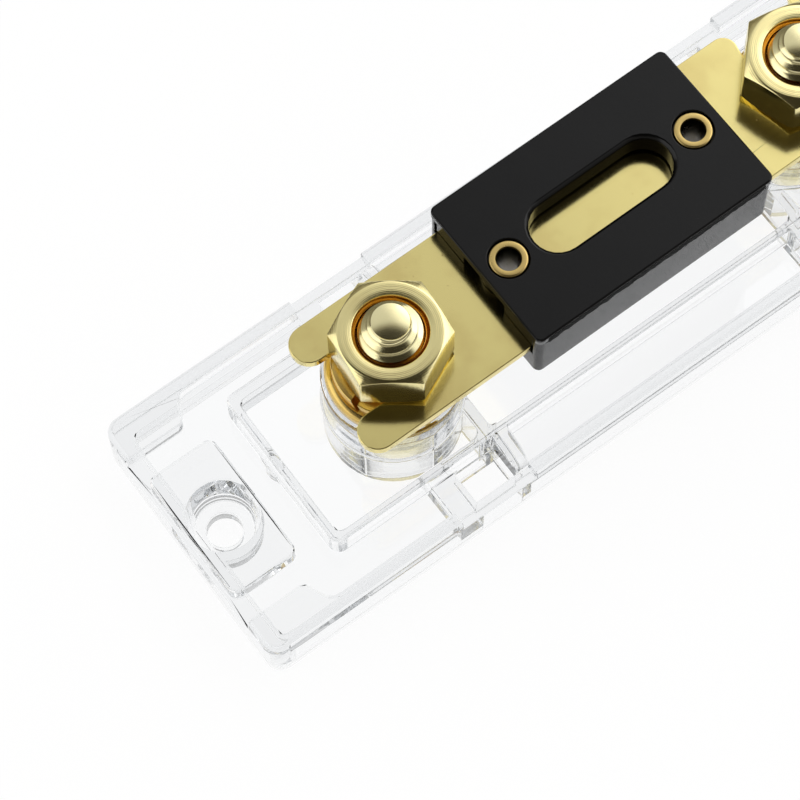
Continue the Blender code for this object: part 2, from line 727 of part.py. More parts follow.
def blade_outline():
    """The punched strip from above: a fork on the left, a leaning hook on the right, the link in the middle."""
    end = BLADE_LENGTH / 2
    edge = BLADE_WIDTH / 2
    slot = STUD_CLEARANCE_RADIUS + SEAT_GAP
    fork_floor = -STUD_X + slot
    prong_radius = (edge - slot) * 0.49
    link_x = LINK_LENGTH / 2
    link_y = LINK_WIDTH / 2
    shoulder = edge - link_y
    lean = (math.sin(HOOK_LEAN), math.cos(HOOK_LEAN))

    def hook(along, across):
        """A point of the hook's slot, along its lean and across it from the right bolt's axis."""
        return (HOOK_X + along * lean[0] + across * lean[1], HOOK_Y + along * lean[1] - across * lean[0])

    def mouth(across):
        """Where a wall of the slot meets the strip's upper edge."""
        along = (edge - HOOK_Y + across * lean[0]) / lean[1]
        return (*hook(along, across), HOOK_MOUTH_RADIUS)

    round_end = slot * 0.98
    fork = [
        (-end, edge, prong_radius),
        (-end, slot, prong_radius),
        (fork_floor, slot, round_end),
        (fork_floor, -slot, round_end),
        (-end, -slot, prong_radius),
        (-end, -edge, prong_radius),
    ]
    lower_link = [
        (-link_x - shoulder / 2, -edge, LINK_CORNER_RADIUS),
        (-link_x, -link_y, LINK_CORNER_RADIUS),
        (link_x, -link_y, LINK_CORNER_RADIUS),
        (link_x + shoulder / 2, -edge, LINK_CORNER_RADIUS),
    ]
    hook_end = [
        (end, -edge, BLADE_CORNER_RADIUS),
        (end, edge, BLADE_CORNER_RADIUS * 0.8),
        mouth(slot),
        (*hook(-slot, slot), round_end),
        (*hook(-slot, -slot), round_end),
        mouth(-slot),
    ]
    upper_link = [(x, -y, r) for x, y, r in reversed(lower_link)]
    return rounded_outline(fork + lower_link + hook_end + upper_link)


def make_blade(material):
    blade = plate("fuse_blade", blade_outline(), (BLADE_Z, BLADE_TOP))
    for side in SIDES:
        span = (BLADE_Z - OVERLAP, BLADE_TOP + OVERLAP)
        hole = disc("cut_blade_hole_" + side_name(side), EYELET_HOLE_RADIUS, span, SMALL_ROUND_STEPS)
        cut(blade, place(hole, side * EYELET_X))
    return finish(blade, material)


def eyelet_holes(half, low, high, seat_low, seat_high):
    """Tools for the rivet holes of one half of the body: a bore, and a seat for the rivet's flange."""
    tools = []
    for side in SIDES:
        name = half + "_" + side_name(side)
        bore = disc("cut_eyelet_" + name, EYELET_HOLE_RADIUS, (low, high), SMALL_ROUND_STEPS)
        seat = disc("cut_flange_" + name, EYELET_SEAT_RADIUS, (seat_low, seat_high), SMALL_ROUND_STEPS)
        tools += [place(bore, side * EYELET_X), place(seat, side * EYELET_X)]
    return tools


def eyelet_bosses(half, z):
    bosses = []
    for side in SIDES:
        boss = disc("add_boss_%s_%s" % (half, side_name(side)), EYELET_BOSS_RADIUS, z, SMALL_ROUND_STEPS)
        bosses.append(place(boss, side * EYELET_X))
    return bosses


def make_tray(material):
    length = BODY_LENGTH - 2 * LID_OVERHANG
    width = BODY_WIDTH - 2 * LID_OVERHANG
    top = SEAM_Z - SEAM_GAP
    blade_seat = BLADE_Z - SEAT_GAP
    floor_top = BODY_BOTTOM + TRAY_FLOOR
    tray = centred_slab("fuse_body_tray", length, width, (BODY_BOTTOM, top), BODY_CORNER_RADIUS)
    cavity = centred_slab(
        "cut_tray_cavity", length - 2 * TRAY_END_WALL, TRAY_INNER_WIDTH, (floor_top, top + OVERLAP),
        BODY_CORNER_RADIUS / 2,
    )
    way_z = (blade_seat, top + OVERLAP)
    blade_way = centred_slab("cut_tray_blade_way", length + 2 * OVERLAP, TRAY_INNER_WIDTH, way_z)
    cut(tray, cavity, blade_way)
    join(tray, *eyelet_bosses("tray", (floor_top - SINK, blade_seat)))
    seat_top = BODY_BOTTOM + EYELET_SEAT_DEPTH
    cut(tray, *eyelet_holes("tray", seat_top - SINK, blade_seat + OVERLAP, BODY_BOTTOM - OVERLAP, seat_top))
    return finish(tray, material)


def lid_tabs():
    """Tabs at the two ends that close the way above the blade, apart from a gap in the middle."""
    outer = BODY_LENGTH / 2 - 2 * LID_OVERHANG
    inner = outer - TRAY_END_WALL
    far = TRAY_INNER_WIDTH / 2 - SEAT_GAP
    near = LID_TAB_OPENING / 2
    tabs = []
    for x_side in SIDES:
        for y_side in SIDES:
            name = "add_tab_%s_%d" % (side_name(x_side), y_side)
            span = (BLADE_TOP + SEAT_GAP, SEAM_Z + SINK)
            tabs.append(slab(name, mirrored(inner, outer, x_side), mirrored(near, far, y_side), span))
    return tabs


def make_lid(material):
    lid = centred_slab(
        "fuse_body_lid", BODY_LENGTH, BODY_WIDTH, (SEAM_Z, BODY_TOP), BODY_CORNER_RADIUS, BODY_EDGE_RADIUS
    )
    foot = BLADE_TOP + SEAT_GAP
    collar_length = SIGHT_LENGTH + 2 * SIGHT_COLLAR
    collar_width = SIGHT_WIDTH + 2 * SIGHT_COLLAR
    collar_z = (foot + SIGHT_COLLAR_RISE, SEAM_Z + SINK)
    join(lid, obround("add_sight_collar", collar_length, collar_width, collar_z))
    join(lid, *eyelet_bosses("lid", (foot, SEAM_Z + SINK)), *lid_tabs())
    window = obround("cut_sight", SIGHT_LENGTH, SIGHT_WIDTH, (foot - OVERLAP, BODY_TOP + OVERLAP))
    rim_z = (BODY_TOP - SIGHT_RIM, BODY_TOP + SIGHT_RIM)
    rim = obround("cut_sight_rim", SIGHT_LENGTH, SIGHT_WIDTH, rim_z, top_growth=2 * SIGHT_RIM)
    cut(lid, window, rim)
    seat_floor = BODY_TOP - EYELET_SEAT_DEPTH
    cut(lid, *eyelet_holes("lid", foot - OVERLAP, seat_floor + SINK, seat_floor, BODY_TOP + OVERLAP))
    return finish(lid, material)


def make_eyelet(side, material):
    """A tube with a rolled flange at each end."""
    roll = EYELET_FLANGE_THICKNESS / 2
    top = BODY_TOP
    bottom = BODY_BOTTOM
    rim = EYELET_FLANGE_RADIUS - roll

    def rolled(height, start, end):
        return arc((rim, height), roll, start, end, ROLL_STEP)

    quarter = math.pi / 2
    profile = [(EYELET_BORE_RADIUS + roll * 0.3, top - roll * 0.1)]
    profile += rolled(top - roll, quarter, -quarter)
    profile += [(EYELET_RADIUS, top - 2 * roll), (EYELET_RADIUS, bottom + 2 * roll)]
    profile += rolled(bottom + roll, quarter, -quarter)
    profile += [
        (EYELET_BORE_RADIUS + roll * 0.3, bottom + roll * 0.1),
        (EYELET_BORE_RADIUS, bottom + roll),
        (EYELET_BORE_RADIUS, top - roll),
    ]
    eyelet = turned("eyelet_" + side_name(side), profile, closed=True, steps=SMALL_ROUND_STEPS)
    return finish(place(eyelet, side * EYELET_X), material)


def make_fuse(blade_material, body_material, eyelet_material):
    """The fuse's pieces and their tools, made about its own axis and hung on an empty that sets it on the bolts."""
    others = set(bpy.data.objects)
    make_blade(blade_material)
    make_tray(body_material)
    make_lid(body_material)
    for side in SIDES:
        make_eyelet(side, eyelet_material)
    fuse = bpy.data.objects.new("fuse", None)
    PARTS.objects.link(fuse)
    place(fuse, FUSE_SHIFT_X, FUSE_SHIFT_Y, 0.0, FUSE_TURN)
    for thing in set(bpy.data.objects) - others - {fuse}:
        thing.parent = fuse


def main():
    clear_plastic = new_material("clear_plastic", (0.95, 0.96, 0.96), 0.05, transmission=1.0)
    black_plastic = new_material("black_plastic", (0.012, 0.012, 0.013), 0.32)
    gold_plate = new_material("gold_plate", (0.83, 0.68, 0.33), 0.18, metallic=1.0)
    pale_gold = new_material("pale_gold", (0.86, 0.78, 0.52), 0.2, metallic=1.0)
    brass = new_material("brass", (0.72, 0.5, 0.2), 0.28, metallic=1.0)
    make_base(clear_plastic)
    for side, turn in zip(SIDES, NUT_TURNS):
        make_bolt(side, pale_gold)
        make_flat_washer(side, gold_plate)
        make_spring_washer(side, gold_plate)
        make_nut(side, turn, pale_gold)
    make_fuse(gold_plate, black_plastic, brass)


main()
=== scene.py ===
# %% [markdown]
# # A clear fuse holder with a bolt-down fuse
# A moulded base of clear plastic carries two captive bolts. A flat fuse of gold-plated metal lies
# on their washers, its black body in the middle, and a hex nut holds it down at each end.
# The solids come packed, at their real size, and this script dresses them: it never moves them.
# Each cell makes one piece or one finish and prints what it made. Lengths are metres, so a number
# of millimetres is written with MM.

import json
import math

import bmesh
import bpy
from mathutils import Matrix, Vector


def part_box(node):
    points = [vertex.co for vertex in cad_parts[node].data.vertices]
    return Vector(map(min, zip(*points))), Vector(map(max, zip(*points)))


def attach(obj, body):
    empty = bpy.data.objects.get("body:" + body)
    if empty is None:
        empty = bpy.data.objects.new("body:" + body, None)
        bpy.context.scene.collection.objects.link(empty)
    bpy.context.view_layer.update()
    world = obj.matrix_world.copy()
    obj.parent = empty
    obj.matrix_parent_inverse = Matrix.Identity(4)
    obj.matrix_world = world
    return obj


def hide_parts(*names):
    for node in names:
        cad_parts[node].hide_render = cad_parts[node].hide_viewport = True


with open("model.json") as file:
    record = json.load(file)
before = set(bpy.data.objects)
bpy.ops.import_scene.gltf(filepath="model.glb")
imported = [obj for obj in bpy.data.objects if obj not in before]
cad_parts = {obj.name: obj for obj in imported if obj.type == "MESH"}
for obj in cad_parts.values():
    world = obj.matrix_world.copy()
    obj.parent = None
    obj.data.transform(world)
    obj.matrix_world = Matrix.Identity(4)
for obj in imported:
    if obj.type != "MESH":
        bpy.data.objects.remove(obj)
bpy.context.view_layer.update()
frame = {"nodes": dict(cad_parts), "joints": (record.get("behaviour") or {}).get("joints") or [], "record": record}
MM = 0.001
LEFT_AXIS, RIGHT_AXIS = (Vector(joint["pos_m"][:2]) for joint in frame["joints"])
STUD_X = RIGHT_AXIS.x
print("nodes:", sorted(frame["nodes"]))
print("bolts stand %.1f mm apart" % ((RIGHT_AXIS - LEFT_AXIS).length / MM))

# %% [markdown]
# ## Writing node trees as Python
# A shader or a geometry tree is maths drawn as boxes. Two small classes let us write that maths as
# text instead. `Signal` wraps the output of a node, and Python's operators on it add Math nodes.
# `Tree` has one method that adds any node: its settings first, then its sockets.

# %% A signal


class Signal:
    """A value that flows through a node tree. An operator on it adds its Math node."""

    def __init__(self, tree, socket):
        self.tree = tree
        self.socket = socket

    def math(self, operation, *others):
        sockets = dict(enumerate((self, *others)))
        return self.tree.node("ShaderNodeMath", {"operation": operation}, sockets)

    def swapped(self, operation, other):
        return self.tree.node("ShaderNodeMath", {"operation": operation}, {0: other, 1: self})

    def __add__(self, other):
        return self.math("ADD", other)

    def __sub__(self, other):
        return self.math("SUBTRACT", other)

    def __mul__(self, other):
        return self.math("MULTIPLY", other)

    def __truediv__(self, other):
        return self.math("DIVIDE", other)

    def __mod__(self, other):
        return self.math("FLOORED_MODULO", other)

    def __rsub__(self, other):
        return self.swapped("SUBTRACT", other)

    def __rtruediv__(self, other):
        return self.swapped("DIVIDE", other)

    __radd__ = __add__
    __rmul__ = __mul__

    def clamped(self):
        return self.math("MAXIMUM", 0.0).math("MINIMUM", 1.0)

    def smooth(self, low, high):
        """0 below low, 1 above high, and a soft step between them."""
        sockets = {"Value": self, "From Min": low, "From Max": high}
        return self.tree.node("ShaderNodeMapRange", {"interpolation_type": "SMOOTHSTEP"}, sockets)


print("operators ready:", [name for name in vars(Signal) if name.startswith("__r")])

# %% A tree


class Tree:
    """A node tree with one way to add a node."""

    def __init__(self, node_tree):
        self.nodes = node_tree.nodes
        self.links = node_tree.links

    def plug(self, socket, value):
        if isinstance(value, Signal):
            self.links.new(value.socket, socket)
        elif isinstance(value, (tuple, list)) and socket.type == "RGBA" and len(value) == 3:
            socket.default_value = (*value, 1.0)
        else:
            socket.default_value = value

    def node(self, kind, settings=None, sockets=None, output=0):
        """Adds a node, sets it, gives its sockets values or links, and returns one output."""
        made = self.nodes.new(kind)
        for name, value in (settings or {}).items():
            setattr(made, name, value)
        for key, value in (sockets or {}).items():
            self.plug(made.inputs[key], value)
        return Signal(self, made.outputs[output] if made.outputs else None)

    def split(self, vector):
        """The three numbers of a vector."""
        made = self.node("ShaderNodeSeparateXYZ", None, {0: vector})
        return [Signal(self, output) for output in made.socket.node.outputs]

    def joined(self, x=0.0, y=0.0, z=0.0):
        """A vector of three numbers."""
        return self.node("ShaderNodeCombineXYZ", None, {0: x, 1: y, 2: z})

    def mixed(self, factor, first, second):
        """A colour between two colours."""
        sockets = {"Factor": factor, "A": first, "B": second}
        return self.node("ShaderNodeMix", {"data_type": "RGBA"}, sockets, "Result")


print("a tree can:", [name for name in vars(Tree) if not name.startswith("_")])

# %% [markdown]
# ## Patterns that the finishes share
# Plated metal and moulded plastic are never quite even. Every material starts from `Pattern`,
# which reads Object coordinates. A node's place is in its mesh, so those coordinates are real
# places on the part, and a pattern has its real scale in millimetres.

# %% A material and its patterns


class Pattern(Tree):
    """A material's tree, with the patterns that finishes are made of."""

    def __init__(self, name):
        self.material = bpy.data.materials.new(name)
        self.material.use_nodes = True
        super().__init__(self.material.node_tree)
        self.nodes.clear()
        self.place = self.node("ShaderNodeTexCoord", output="Object")

    def stretched(self, scale):
        """The place on the part, in millimetres, scaled along each axis."""
        each = tuple(value / MM for value in scale)
        sockets = {0: self.place, 1: each}
        return self.node("ShaderNodeVectorMath", {"operation": "MULTIPLY"}, sockets)

    def noise(self, scale, detail=2.0, stretch=(1.0, 1.0, 1.0), rough=0.5):
        """Cloudy noise with scale features to the millimetre."""
        sockets = {"Vector": self.stretched(stretch), "Scale": scale}
        sockets.update({"Detail": detail, "Roughness": rough})
        return self.node("ShaderNodeTexNoise", None, sockets)

    def specks(self, scale, size):
        """Small round spots, 1 inside and 0 outside."""
        sockets = {"Vector": self.stretched((1.0, 1.0, 1.0)), "Scale": scale}
        away = self.node("ShaderNodeTexVoronoi", None, sockets, "Distance")
        return 1 - away.smooth(size * 0.5, size)

    def axes(self):
        """The place's three numbers, in metres."""
        return self.split(self.place)

    def from_bolt(self):
        """The distance from the nearer bolt's axis, in millimetres."""
        x, y, _ = self.axes()
        across = x.math("ABSOLUTE") - STUD_X
        return (across * across + y * y).math("SQRT") / MM

    def bump(self, height):
        """A normal that follows a height in millimetres."""
        sockets = {"Strength": 1.0, "Distance": MM, "Height": height}
        return self.node("ShaderNodeBump", None, sockets)

    def principled(self, **sockets):
        """A Principled shader. An underscore in a name stands for a space."""
        named = {name.replace("_", " "): value for name, value in sockets.items()}
        return self.node("ShaderNodeBsdfPrincipled", None, named)

    def finish(self, surface, volume=None):
        """Links a shader, and one for the inside if there is one. Returns the material."""
        sockets = {"Surface": surface}
        if volume:
            sockets["Volume"] = volume
        self.node("ShaderNodeOutputMaterial", None, sockets)
        return self.material


print("patterns ready:", [name for name in vars(Pattern) if not name.startswith("_")])

# %% [markdown]
# ## How a piece is dressed
# Some pieces are new meshes, and others are a copy of the packed solid with its edges softened.
# Either way the finished mesh stands for its node and rides on the node's body, so the mesh of a
# nut turns with the nut.

# %% Meshes and modifiers
BODIES = frame["record"]["behaviour"]["bodies"]
BODY_OF = {node: body for body, nodes in BODIES.items() for node in nodes}


def evaluated(thing):
    """The plain mesh that an object's modifiers give."""
    depsgraph = bpy.context.evaluated_depsgraph_get()
    return bpy.data.meshes.new_from_object(thing.evaluated_get(depsgraph), depsgraph=depsgraph)


def linked(name, data):
    """A new object in the scene with a mesh, a lamp or a camera in it."""
    thing = bpy.data.objects.new(name, data)
    bpy.context.scene.collection.objects.link(thing)
    return thing


def modified(mesh, kind, settings):
    """The mesh that comes out of one modifier."""
    thing = linked("in_work", mesh)
    modifier = thing.modifiers.new(kind.lower(), kind)
    for name, value in settings.items():
        setattr(modifier, name, value)
    result = evaluated(thing)
    bpy.data.objects.remove(thing)
    return result


def mesh_of(bm, name):
    """The mesh of a bmesh, which is freed."""
    mesh = bpy.data.meshes.new(name)
    bm.to_mesh(mesh)
    bm.free()
    return mesh


def smoothed(mesh, angle):
    """Smooth shading, with an edge kept sharp where its faces meet at more than the angle."""
    mesh.shade_smooth()
    mesh.set_sharp_from_angle(angle=angle)
    return mesh


def dress(name, mesh, material, *nodes):
    """Makes a piece of a finished mesh. It stands for its nodes and rides on their body."""
    mesh.materials.clear()
    mesh.materials.append(material)
    piece = linked(name, mesh)
    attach(piece, BODY_OF[nodes[0]])
    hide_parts(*nodes)
    print("%s: %d faces" % (name, len(mesh.polygons)))


print("bodies:", sorted(BODIES))

# %% [markdown]
# ## Softening a packed solid
# A packed mesh is loose triangles with knife-sharp edges. So its copy is welded first and its flat
# areas are merged. A bevel and a cutter do better on small simple faces, so for them each face of
# more than four corners is split into triangles again, and after the bevel the flat areas are
# merged once more. A bevel wider than a small face can throw a point out past the solid, so each
# point is held inside the node's box afterwards.

# %% A softened copy
WELD = 0.001 * MM
STILL_FLAT = math.radians(0.3)
BEVELLED_ABOVE = math.radians(28)
SHARP_ABOVE = math.radians(50)
QUAD = 4


def rebuilt(mesh, whole_sides):
    """A welded copy of a mesh with its flat areas merged, and left whole if whole_sides says so."""
    bm = bmesh.new()
    bm.from_mesh(mesh)
    bmesh.ops.remove_doubles(bm, verts=bm.verts, dist=WELD)
    bmesh.ops.dissolve_limit(bm, angle_limit=STILL_FLAT, verts=bm.verts, edges=bm.edges)
    if not whole_sides:
        many_sided = [face for face in bm.faces if len(face.verts) > QUAD]
        bmesh.ops.triangulate(bm, faces=many_sided)
    return mesh_of(bm, "rebuilt")


def softened(node, width, segments=2, without=None):
    """A packed solid with a small round on each edge, and without what a cutter takes off."""
    bevel = {"width": width, "segments": segments, "use_clamp_overlap": False}
    bevel.update({"limit_method": "ANGLE", "angle_limit": BEVELLED_ABOVE})
    packed = rebuilt(frame["nodes"][node].data, whole_sides=False)
    if without:
        cut = {"object": without, "operation": "DIFFERENCE", "solver": "EXACT"}
        packed = rebuilt(modified(packed, "BOOLEAN", cut), whole_sides=False)
    rounded = rebuilt(modified(packed, "BEVEL", bevel), whole_sides=True)
    low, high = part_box(node)
    for vertex in rounded.vertices:
        sides = zip(vertex.co, low, high)
        vertex.co = [min(max(value, least), most) for value, least, most in sides]
    return modified(smoothed(rounded, SHARP_ABOVE), "WEIGHTED_NORMAL", {"keep_sharp": True})


print("edges over %.0f degrees get a round" % math.degrees(BEVELLED_ABOVE))

# %% [markdown]
# ## Round pieces
# Washers, eyelets, nuts and bolt heads are all a profile carried round an axis. On a hex nut the
# profile just changes with the angle. So one helper skins a list of loops, and each piece only has
# to say where its points are. Every corner of a profile gets a small round, because a real edge is
# never quite sharp and that is what catches the light.

# %% Profiles and skins
MOST_OF_A_SIDE = 0.45


def eased(points, radius, closed=True, steps=2):
    """A profile with each corner replaced by a short curve."""
    result = []
    count = len(points)
    for index, corner in enumerate(points):
        if not closed and index in (0, count - 1):
            result.append(corner)
            continue
        here = Vector(corner)
        before = Vector(points[index - 1]) - here
        after = Vector(points[(index + 1) % count]) - here
        start = here + before * min(radius / before.length, MOST_OF_A_SIDE)
        end = here + after * min(radius / after.length, MOST_OF_A_SIDE)
        for step in range(steps + 1):
            t = step / steps
            point = start * (1 - t) ** 2 + here * 2 * t * (1 - t) + end * t ** 2
            result.append(tuple(point))
    return result


def skinned(name, loops, closed):
    """A mesh that joins each loop to the next, and closes on itself or ends in flat faces."""
    bm = bmesh.new()
    rows = [[bm.verts.new(point) for point in loop] for loop in loops]
    following = rows[1:] + rows[:1] if closed else rows[1:]
    for row, after in zip(rows, following):
        for corners in zip(row, row[1:] + row[:1], after[1:] + after[:1], after):
            bm.faces.new(corners)
    if not closed:
        bm.faces.new(rows[0])
        bm.faces.new(rows[-1])
    bmesh.ops.recalc_face_normals(bm, faces=bm.faces)
    return mesh_of(bm, name)


def around(centre, radius, angle, height):
    """The point at a radius, an angle and a height about an upright axis."""
    return (centre.x + radius * math.cos(angle), centre.y + radius * math.sin(angle), height)


def turned(name, profile, centre, steps=128):
    """A profile of (radius, height) points turned about an upright axis."""
    angles = [2 * math.pi * step / steps for step in range(steps)]
    loops = [[around(centre, radius, a, height) for a in angles] for radius, height in profile]
    return skinned(name, loops, closed=True)


def axis_of(node):
    """Where an upright piece's axis stands, and its lowest and highest height."""
    low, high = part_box(node)
    return (low + high) / 2, low.z, high.z


square = [(0, 0), (1, 0), (1, 1), (0, 1)]
print("a square with eased corners has", len(eased(square, 0.1)), "points")

# %% [markdown]
# ## Materials
# The metal is gold-plated brass: a pale gold with soft clouds of tarnish, small specks where the
# plate is thin, fine polishing marks, and turned rings on the faces that a lathe cut. All of that
# is noise and maths on the place, fed to the base colour, the roughness and a bump. Its sizes are
# in millimetres.

# %% Plated metal
TARNISH = (0.55, 0.36, 0.12)
FINE_RING = 0.21
BROAD_RING = 0.83
GRAIN_HEIGHT = 0.0004
ALONG_THE_PART = (0.35, 9.0, 9.0)


def plated(name, color, roughness, rings=0.0, scratches=0.0, stain=0.25, deep=None):
    """Gold plate with clouds and polishing marks.

    Rings round the bolts and scratches have a height in millimetres. deep is a mask for a hollow
    and the shade colour painted there in place of the plate's own.
    """
    tree = Pattern(name)
    clouds = tree.noise(0.18, detail=3.0)
    grain = tree.noise(2.4, detail=2.0)
    thin = tree.specks(0.55, 0.09) * tree.noise(0.9).smooth(0.5, 0.62)
    worn = (clouds.smooth(0.42, 0.75) * stain + thin * 0.5).clamped()
    tint = tree.mixed(worn, color, TARNISH)
    if deep:
        mask, hollow_shade_color = deep
        # Painted shade in a hollow.
        tint = tree.mixed(mask(tree), tint, hollow_shade_color)
    lines = tree.noise(1.0, detail=4.0, stretch=ALONG_THE_PART, rough=0.7)
    rough = roughness + grain * 0.05 + clouds * 0.04 + thin * 0.15
    height = lines * scratches + grain * GRAIN_HEIGHT
    if rings:
        fine = (tree.from_bolt() * (2 * math.pi / FINE_RING)).math("SINE")
        broad = (tree.from_bolt() * (2 * math.pi / BROAD_RING)).math("SINE")
        height = height + fine * rings + broad * (rings * 2)
    normal = tree.bump(height)
    shader = tree.principled(Base_Color=tint, Metallic=1.0, Roughness=rough, Normal=normal)
    return tree.finish(shader)


print("rings stand %.2f and %.2f mm apart" % (FINE_RING, BROAD_RING))

# %% [markdown]
# Two hollows get painted shade. A nut's countersink is painted amber, for the dark gold that the
# crevice reflects, and the inside of an eyelet is painted nearly black. Each such hollow is a mask
# on the place: how far a point is from an axis, and for the eyelets how far below the rim, all in
# millimetres.

# %% Masks for the painted shade in the hollows
COUNTERSINK_SHADE_FADES = (4.50, 4.66)
WALL_FADES = (1.6, 1.8)
RIM_FADES = (0.45, 0.1)
EYELETS = [sum(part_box("eyelet_" + side), Vector()) / 2 for side in ("left", "right")]
EYELET_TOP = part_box("eyelet_right")[1].z


def painted_countersink_shade(tree):
    """1 in the countersink and the bore of a nut, where amber shade is painted."""
    return 1 - tree.from_bolt().smooth(*COUNTERSINK_SHADE_FADES)


def down_the_bore(tree):
    """1 on the inside of an eyelet, below its rim, where shade is painted."""
    x, y, z = tree.axes()
    away = []
    for axis in EYELETS:
        squares = (x - axis.x) * (x - axis.x) + (y - axis.y) * (y - axis.y)
        away.append(squares.math("SQRT") / MM)
    inside = 1 - away[0].math("MINIMUM", away[1]).smooth(*WALL_FADES)
    rim_starts, rim_full = (EYELET_TOP / MM - depth for depth in RIM_FADES)
    return inside * (1 - (z / MM).smooth(rim_starts, rim_full))


print("eyelets stand at x", ["%.1f mm" % (axis.x / MM) for axis in EYELETS])

# %% Five metals
BLADE_GOLD = (0.88, 0.755, 0.31)
NUT_GOLD = (0.90, 0.795, 0.39)
BOLT_GOLD = (0.95, 0.87, 0.50)
WASHER_GOLD = (0.78, 0.55, 0.17)
EYELET_BRASS = (0.62, 0.46, 0.17)
# Painted shade: amber for the dark gold that a nut's countersink reflects deep in its crevice.
COUNTERSINK_SHADE_AMBER = (0.46, 0.20, 0.025)
# Painted shade: near black down the bore of an eyelet, from just below its rim.
BORE_SHADE_BROWN = (0.045, 0.035, 0.016)

shade_in_the_nut = (painted_countersink_shade, COUNTERSINK_SHADE_AMBER)
shade_in_the_eyelet = (down_the_bore, BORE_SHADE_BROWN)
blade_metal = plated("plated_blade", BLADE_GOLD, 0.10, scratches=0.0012)
nut_metal = plated("plated_nut", NUT_GOLD, 0.15, rings=0.0016, stain=0.15, deep=shade_in_the_nut)
bolt_metal = plated("plated_bolt", BOLT_GOLD, 0.13, scratches=0.0006, stain=0.1)
washer_metal = plated("plated_washer", WASHER_GOLD, 0.20, rings=0.0006, stain=0.35)
eyelet_metal = plated(
    "brass_eyelet", EYELET_BRASS, 0.24, scratches=0.0006, stain=0.3, deep=shade_in_the_eyelet
)
print("metals:", [m.name for m in bpy.data.materials if "plated" in m.name or "brass" in m.name])

# %% [markdown]
# The fuse's body is black moulded plastic with a satin gloss. It is not quite black: light grazes
# it, dust settles on it, and the mould left a fine orange-peel. Where a knife trimmed it, it is
# matt. All of that is noise again, now in the roughness more than in the colour.

# %% Black plastic
BLACK = (0.0015, 0.0015, 0.0017)
DUSTY_BLACK = (0.009, 0.009, 0.0094)
SOOT = (0.001, 0.001, 0.001)
WORN_SOOT = (0.006, 0.006, 0.006)


def satin_plastic():
    tree = Pattern("black_satin_plastic")
    peel = tree.noise(2.2, detail=2.0)
    clouds = tree.noise(0.25, detail=3.0)
    dust = tree.specks(1.1, 0.07) * tree.noise(0.7).smooth(0.48, 0.6)
    tint = tree.mixed((clouds * 0.3 + dust * 0.5).clamped(), BLACK, DUSTY_BLACK)
    rough = 0.13 + clouds * 0.10 + dust * 0.2
    normal = tree.bump(peel * 0.004 + dust * 0.006)
    return tree.finish(tree.principled(Base_Color=tint, Roughness=rough, Normal=normal, IOR=1.36))


def matt_plastic():
    tree = Pattern("black_matt_plastic")
    grit = tree.noise(5.0, detail=3.0)
    tint = tree.mixed(grit, SOOT, WORN_SOOT)
    rough = 0.6 + grit * 0.2
    normal = tree.bump(grit * 0.03)
    return tree.finish(tree.principled(Base_Color=tint, Roughness=rough, Normal=normal, IOR=1.2))


satin_black = satin_plastic()
matt_black = matt_plastic()
print("black plastics:", satin_black.name, matt_black.name)

# %% [markdown]
# The clear plastic of the base is a real glass-like shader with the plastic's own index, and its
# inside takes a little light from a ray that goes far in it. A lamp can't shine through such a
# shader without caustics, so for shadow rays the material is plainly transparent and the floor
# stays light.

# %% Clear plastic
CLEAR = (0.985, 0.988, 0.99)
CLEAR_INDEX = 1.49
SHADOW_LETS_THROUGH = (0.86, 0.87, 0.875)
DEEP_GREY = (0.80, 0.81, 0.82)
DEEP_DENSITY = 110.0


def clear_plastic():
    tree = Pattern("clear_moulded_plastic")
    flow = tree.noise(0.12, detail=2.0)
    fine = tree.noise(1.6, detail=2.0)
    rough = 0.015 + fine * 0.02
    normal = tree.bump(flow * 0.03 + fine * 0.0008)
    glass = tree.principled(
        Base_Color=CLEAR, Roughness=rough, Normal=normal, IOR=CLEAR_INDEX, Transmission_Weight=1.0
    )
    passing = tree.node("ShaderNodeBsdfTransparent", None, {"Color": SHADOW_LETS_THROUGH})
    shadow = tree.node("ShaderNodeLightPath", output="Is Shadow Ray")
    shader = tree.node("ShaderNodeMixShader", None, {0: shadow, 1: glass, 2: passing})
    inside = {"Color": DEEP_GREY, "Density": DEEP_DENSITY}
    return tree.finish(shader, tree.node("ShaderNodeVolumeAbsorption", None, inside))


clear = clear_plastic()
print("clear plastic:", clear.name)

# %% [markdown]
# ## The base
# It is one clear moulding: a deck with rails, a raised middle, two towers for the bolts and a
# screw seat at each end, hollow below. The packed solid has all of that, so the base is a copy of
# it. What it lacks is the small round that a mould leaves on every edge. In clear plastic this
# matters twice, because each round edge bends what is seen through it into a dark and a bright
# line.
#
# The packed base has a pin of plastic in each outer bay and a raised disc under each side of the
# deck, where ejectors push it out of the mould. On the real one they are so shallow that they
# hardly show, so the dressed base is cut flat there, with a box for each. A box is written as its
# spans in millimetres: out along x, across at the left end, and up. The right end's box is that
# one turned half round.

# %% The clear base
BASE_ROUND = 0.2 * MM
PIN_SPANS = ((43.3, 46.55), (0.6, 5.1), (0.7, 8.85))
DISC_SPANS = ((10.1, 13.9), (11.4, 15.3), (3.5, 3.8))

bm = bmesh.new()
for end in (-1, 1):
    for spans in (PIN_SPANS, DISC_SPANS):
        size = [(high - low) * MM for low, high in spans]
        x, y, z = [(high + low) / 2 * MM for low, high in spans]
        place = Matrix.Translation((end * x, -end * y, z)) @ Matrix.Diagonal((*size, 1))
        bmesh.ops.create_cube(bm, size=1.0, matrix=place)
cutter = linked("cutter_in_work", mesh_of(bm, "cutter"))
dress("clear_base", softened("base", BASE_ROUND, without=cutter), clear, "base")
bpy.data.objects.remove(cutter)

# %% [markdown]
# ## The fuse's blade, tray and lid
# The blade is punched from sheet, with an open fork at one end and a side hook at the other. The
# body is a tray under the blade and a lid on it, with a sight window. All three keep the packed
# form and get soft edges. The blade's take three segments, because bright metal shows each one.

# %% Blade, tray and lid
BLADE_ROUND = 0.14 * MM
BODY_ROUND = 0.12 * MM

